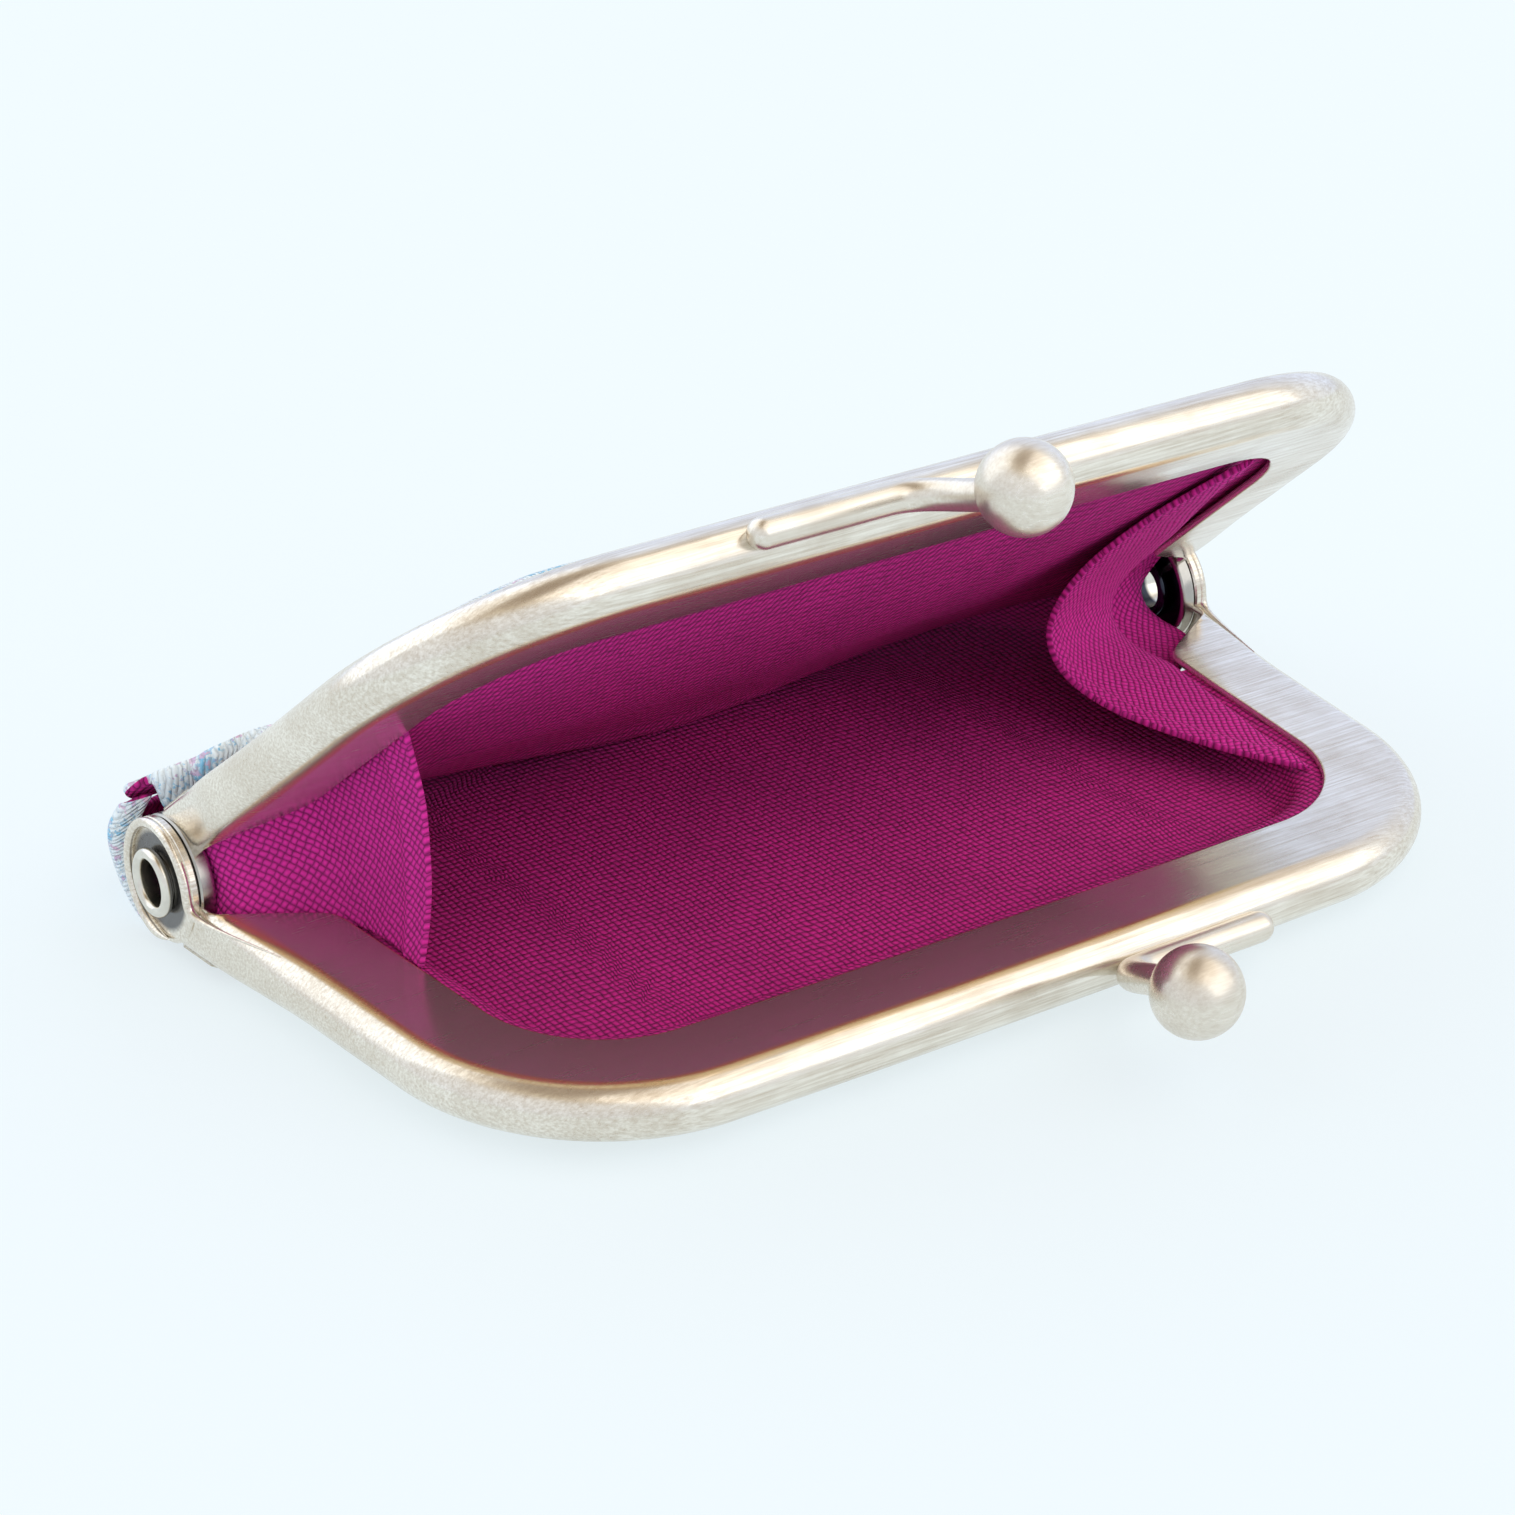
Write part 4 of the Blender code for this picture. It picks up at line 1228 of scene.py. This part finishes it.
class PurseClothSettings(bpy.types.PropertyGroup):
    """Colours and thread sizes of the cloth."""

    canvas: colour_setting("Canvas", "Colour of the lining's threads", (0.72, 0.026, 0.31))
    # Painted light: a lighter copy of the lining's canvas colour, for the lit gussets
    gusset: colour_setting("Gusset", "Colour of the gussets' threads", (0.82, 0.032, 0.38))
    canvas_deep: colour_setting(
        "Canvas shade", "Colour between the lining's threads", (0.15, 0.008, 0.078))
    canvas_pitch: pitch_setting(
        "Canvas pitch", "Distance between two lining threads", 0.47 * mm)
    ground: colour_setting("Brocade", "Colour of the brocade's ground", (0.88, 0.97, 1.0))
    blue: colour_setting("Blue float", "Colour of the blue threads", (0.10, 0.52, 0.82))
    pink: colour_setting("Pink float", "Colour of the pink threads", (0.82, 0.40, 0.62))
    brocade_pitch: pitch_setting(
        "Brocade pitch", "Distance between two brocade threads", 0.26 * mm)
    felt: colour_setting("Interlining", "Colour of the interlining", (0.85, 0.78, 0.72))
    fineness: IntProperty(
        name="Fineness", description="How many columns a cloth panel has", default=96, min=16,
        max=200)


class PurseStageSettings(bpy.types.PropertyGroup):
    """The camera, floor and light."""

    floor: colour_setting("Floor", "Colour of the floor", (0.80, 0.90, 1.0))
    lens: FloatProperty(
        name="Lens", description="Focal length of the camera", subtype="DISTANCE_CAMERA",
        default=99.15, min=20, max=300)
    key_power: power_setting("Key light", "Power of the key light", 3.2)
    fill_power: power_setting("Back light", "Power of the light behind", 2.0)


class PURSE_OT_frames(bpy.types.Operator):
    """Make both channel frames with their ears and beads, and both rivets"""

    bl_idname = "purse.frames"
    bl_label = "Frames"

    def execute(self, context):
        look = context.scene.purse_brass
        brass = brass_finish("brushed_brass", look, look.roughness, brushed_streaks, True)
        ears = rivet_finish("ear_brass", look.brass, look.patina_and_shade, look.roughness * 0.9)
        rolled = rivet_finish("rolled_brass", look.rivet, look.patina_and_shade, look.roughness * 0.7)
        paper = cord_finish("twisted_paper", paper_color, paper_shade)
        for name in ("lower_paper_cord", "upper_paper_cord"):
            frame["nodes"][name].material_slots[0].material = paper

        half_play = ear_play / 2
        lower = bmesh.new()
        add_sweep(lower, channel_rings(-1, lower_ear_shift))
        inner_face = ear_parting + half_play
        for side in (-1, 1):
            add_turned(lower, ear_profile(inner_face, inner_face + ear_thickness, False), side)
            path, radii = bead_path(side)
            add_sweep(lower, tube_rings(path, radii, bead_sides))
        lower_piece = metal_piece("frame_lower", lower, Matrix(), brass)
        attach(lower_piece, lower_body)
        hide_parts("lower_frame")

        upper = bmesh.new()
        add_sweep(upper, channel_rings(1, upper_ear_shift))
        opening = Matrix.Rotation(-opening_angle, 4, "X")
        upper_piece = metal_piece("frame_upper", upper, opening, brass)
        inner_ears = bmesh.new()
        outer_face = ear_parting - half_play
        for side in (-1, 1):
            add_turned(inner_ears, ear_profile(outer_face, outer_face - ear_thickness, True), side)
        ear_piece = metal_piece("ears_upper", inner_ears, Matrix(), ears)
        for piece in (upper_piece, ear_piece):
            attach(piece, upper_body)
        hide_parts("upper_frame")

        roll = rivet_bore_radius + rivet_roll_radius
        top = ear_thickness + half_play + solder_gap + rivet_roll_radius
        barrel = rivet_bore_radius + rivet_wall
        tuck = math.acos((barrel - roll) / rivet_roll_radius)
        for name, side in (("left", -1), ("right", 1)):
            size = (rivet_roll_radius, rivet_roll_radius)
            upper_roll = arc((roll, top), size, math.pi, -tuck, rivet_roll_steps)
            lower_roll = arc((roll, -top), size, tuck, -math.pi, rivet_roll_steps)
            profile = [(ear_parting + x, radius) for radius, x in upper_roll + lower_roll]
            rivet = bmesh.new()
            add_turned(rivet, profile, side)
            piece = metal_piece("rolled_rivet_" + name, rivet, Matrix(), rolled)
            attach(piece, lower_body)
            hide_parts(name + "_rivet")
        return {"FINISHED"}


class PURSE_OT_clasp(bpy.types.Operator):
    """Make the two bent stems and their balls"""

    bl_idname = "purse.clasp"
    bl_label = "Clasp"

    def execute(self, context):
        look = context.scene.purse_brass
        satin = brass_finish("satin_brass", look, look.roughness * satin_share, satin_streaks)
        path, radii, ball = stem_path()
        turned = Matrix.Rotation(-opening_angle, 4, "X") @ Matrix.Rotation(math.pi, 4, "Y")
        halves = (("lower", Matrix(), lower_body), ("upper", turned, upper_body))
        for half, turn, body in halves:
            stem = bmesh.new()
            add_sweep(stem, tube_rings(path, radii, stem_sides))
            stem_piece = metal_piece("bent_stem_" + half, stem, turn, satin)
            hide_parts(half + "_clasp_stem")
            round_ball = bmesh.new()
            bmesh.ops.create_uvsphere(
                round_ball, u_segments=ball_segments, v_segments=ball_segments // 2,
                radius=ball_diameter / 2,
                matrix=Matrix.Translation(ball) @ Matrix.Rotation(math.pi / 2, 4, "X"))
            ball_piece = metal_piece("round_ball_" + half, round_ball, turn, satin)
            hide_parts(half + "_clasp_ball")
            for piece in (stem_piece, ball_piece):
                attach(piece, body)
        return {"FINISHED"}


class PURSE_OT_lining(bpy.types.Operator):
    """Line both halves with canvas over interlining"""

    bl_idname = "purse.lining"
    bl_label = "Lining"

    def execute(self, context):
        look = context.scene.purse_cloth
        canvas = canvas_finish("canvas", look.canvas, look.canvas_deep, look.canvas_pitch)
        felt = felt_finish("pressed_felt", look.felt)
        # Name and slot, level, floor, thickness, finish, half width, back, folds, flat sizes, areas
        layers = (
            ("lining", "magenta_canvas", lining_level, lining_floor, lining_cloth, canvas,
             lining_half_width, lining_back, 0.10 * mm,
             (0.0747, 0.050), 0.00321, (0.0728, 0.0496), 0.00314),
            ("interlining", "interlining", interlining_level, interlining_floor,
             interlining_cloth, felt, interlining_half_width, interlining_back, 0.0,
             (0.0748, 0.0512), 0.00331, (0.074, 0.0502), 0.00321),
        )
        for (name, slot, level, floor, cloth, finish, half_width, back, crumple,
             flat, area, top_flat, top_area) in layers:
            sizes = (half_width, leg_start, back, inner_rise_at_hinge, inner_rise_at_back)
            guides = lower_rows(level, floor, inner_wall_shares, sizes)
            rows = above(fine_rows(guides, look.fineness, lining_row_count), floor)
            lower = cloth_piece(
                name + "_below", rows, cloth, finish, flat_grid(rows, flat_lower),
                soft_folds(7 * mm, crumple, seed=1))
            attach(lower, lower_body)
            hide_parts("lower_" + name)

            hinge_edge = opened(Vector((0, -leg_start, level)))
            lifted = lining_floor + inner_rise_at_back + lining_cloth + seam_gap
            lifted = lifted + level - lining_level
            edge = (half_width, hinge_edge.y, back, hinge_edge.z, lifted)
            landing = lining_landing + level - lining_level
            guides = upper_rows(level, level, edge, landing, 0, 0)
            rows = fine_rows(guides, look.fineness, lining_row_count)
            upper = cloth_piece(
                name + "_above", rows, cloth, finish, flat_grid(rows, flat_slack),
                soft_folds(9 * mm, crumple, seed=2))
            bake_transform(upper)
            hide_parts("upper_" + name)
        return {"FINISHED"}


class PURSE_OT_gussets(bpy.types.Operator):
    """Fold a hemmed canvas gusset in at each side"""

    bl_idname = "purse.gussets"
    bl_label = "Gussets"

    def execute(self, context):
        look = context.scene.purse_cloth
        # Painted light: the gussets' canvas is a lighter copy of the lining's
        deep = [gusset_painted_light * value for value in look.canvas_deep]
        pitch = look.canvas_pitch * gusset_fineness
        canvas = canvas_finish("gusset_canvas", look.gusset, deep, pitch, gusset_bias)
        for name, (side, hem, hem_top, fold, band, flat, area) in gusset_sizes.items():
            rows = gusset_rows(side, hem, hem_top, fold, *gusset_grid)
            folds = soft_folds(4 * mm, 0.12 * mm, seed=3 + side)
            piece = cloth_piece(
                "folded_gusset_" + name, rows, lining_cloth, canvas, flat_strip(rows),
                hem_relief(band, hem_lift * side, folds))
            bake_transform(piece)
            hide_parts(name + "_gusset")
        return {"FINISHED"}


class PURSE_OT_outer(bpy.types.Operator):
    """Cover the bag with brocade"""

    bl_idname = "purse.outer"
    bl_label = "Outer bag"

    def execute(self, context):
        look = context.scene.purse_cloth
        brocade = brocade_finish(
            "silver_brocade", look.ground, look.blue, look.pink, look.brocade_pitch)
        canvas = bpy.data.materials["canvas"]
        row_count, top_row_count = outer_row_counts
        sizes = (bag_half_width, ear_radius, bag_back, seam_height_at_hinge, seam_height_at_back)
        guides = lower_rows(outer_level, outer_floor, outer_wall_shares, sizes)
        rows = above(fine_rows(guides, look.fineness, row_count), outer_floor)
        lower = cloth_piece(
            "brocade_below", rows, outer_cloth, canvas, flat_grid(rows, flat_lower), None, brocade)

        over = closed_gap + closed_gap / 2 + channel_height + outer_cloth / 2
        seam = outer_cloth + seam_gap
        edge = (bag_half_width, ear_radius + seam, bag_back,
                outer_floor + seam_height_at_hinge + seam,
                outer_floor + seam_height_at_back + seam)
        landing = lining_landing + outer_level - lining_level + landing_lift
        guides = upper_rows(outer_level, over, edge, landing, side_swell, 1)
        rows = fine_rows(guides, look.fineness, top_row_count)
        upper = cloth_piece(
            "brocade_above", rows, outer_cloth, brocade, flat_grid(rows, flat_upper),
            soft_folds(6 * mm, 0.18 * mm, seed=6), canvas)
        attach(lower, lower_body)
        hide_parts("lower_outer_panel")
        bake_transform(upper)
        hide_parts("upper_outer_panel")
        return {"FINISHED"}


class PURSE_OT_stage(bpy.types.Operator):
    """Set up the camera, the pale floor and the soft light"""

    bl_idname = "purse.stage"
    bl_label = "Stage"

    def execute(self, context):
        look = context.scene.purse_stage
        scene = context.scene
        scene.view_settings.view_transform = "Standard"

        camera = in_scene("camera", bpy.data.cameras.new("camera"))
        scene.camera = camera
        camera.data.lens = look.lens
        camera.data.clip_start = camera_clip
        back = (camera_eye - camera_aim).normalized()
        right = Vector((0, 0, 1)).cross(back).normalized()
        turn = Matrix((right, back.cross(right), back)).transposed()
        turn = turn @ Matrix.Rotation(camera_roll, 3, "Z")
        spot = camera_eye + Vector((0, 0, hinge_height))
        camera.matrix_world = Matrix.Translation(spot) @ turn.to_4x4()

        bpy.ops.mesh.primitive_plane_add(size=floor_size, location=(0, 0, floor_height))
        floor = context.object
        floor.name = "floor"
        finish = Finish("floor")
        finish.set(Base_Color=look.floor, Roughness=0.9, Specular_IOR_Level=0.0)
        rays = finish.node("ShaderNodeLightPath").outputs
        seen = Wire(finish, rays["Is Camera Ray"]) + Wire(finish, rays["Is Glossy Ray"])
        seen = seen + Wire(finish, rays["Is Transmission Ray"])
        share = seen.math("MINIMUM", 1.0) * floor_glow_share
        plain = Wire(finish, finish.shader.outputs[0])
        glow = finish.add("ShaderNodeEmission", None, {"Color": floor_glow, "Strength": 1.0})
        blend = finish.add("ShaderNodeMixShader", None, {0: share, 1: plain, 2: glow})
        finish.join(blend, finish.tree.nodes["Material Output"].inputs["Surface"])
        floor.data.materials.append(finish.material)

        world = bpy.data.worlds.new("studio")
        scene.world = world
        world.use_nodes = True
        sky = Finish("studio", world.node_tree)
        way = sky.node("ShaderNodeTexCoord").outputs["Generated"]
        parts = sky.split(Wire(sky, way))
        height = sky.ramp(parts[2] * 0.5 + 0.5, sky_stops)
        window = parts[0] * window_direction[0] + parts[1] * window_direction[1]
        window = sky.mask(window, *window_range)
        background = world.node_tree.nodes["Background"]
        sky.join(sky.mix(window * window_share, height, window_tint), background.inputs["Color"])
        background.inputs["Strength"].default_value = sky_strength

        lamps = (("key", look.key_power, key_lamp), ("back", look.fill_power, back_lamp))
        for name, power, (spot, size, tint) in lamps:
            data = bpy.data.lights.new(name, "AREA")
            data.size = size
            data.energy = power
            data.color = tint
            light = in_scene(name, data)
            light.location = spot
            light.rotation_euler = (-Vector(spot)).to_track_quat("-Z", "Y").to_euler()
        return {"FINISHED"}


class PURSE_PT_panel(bpy.types.Panel):
    """Lists the purse's steps"""

    bl_idname = "PURSE_PT_panel"
    bl_label = "Clasp purse"
    bl_space_type = "VIEW_3D"
    bl_region_type = "UI"
    bl_category = "Purse"

    def draw(self, context):
        for group in ("purse_brass", "purse_cloth", "purse_stage"):
            settings = getattr(context.scene, group)
            for name in settings.__annotations__:
                self.layout.prop(settings, name)
        for operator in operators:
            self.layout.operator(operator.bl_idname)


setting_groups = {
    "purse_brass": PurseBrassSettings,
    "purse_cloth": PurseClothSettings,
    "purse_stage": PurseStageSettings,
}
operators = (
    PURSE_OT_stage, PURSE_OT_frames, PURSE_OT_clasp, PURSE_OT_lining, PURSE_OT_gussets,
    PURSE_OT_outer)


def register():
    """Add the settings, operators and panel."""
    for name, group in setting_groups.items():
        bpy.utils.register_class(group)
        setattr(bpy.types.Scene, name, PointerProperty(type=group))
    for operator in operators:
        bpy.utils.register_class(operator)
    bpy.utils.register_class(PURSE_PT_panel)


def unregister():
    """Take the settings, operators and panel away."""
    bpy.utils.unregister_class(PURSE_PT_panel)
    for operator in operators:
        bpy.utils.unregister_class(operator)
    for name, group in setting_groups.items():
        delattr(bpy.types.Scene, name)
        bpy.utils.unregister_class(group)


def main():
    """Dress the purse."""
    register()
    bpy.ops.purse.stage()
    bpy.ops.purse.frames()
    bpy.ops.purse.clasp()
    bpy.ops.purse.lining()
    bpy.ops.purse.gussets()
    bpy.ops.purse.outer()


if __name__ == "__main__":
    main()
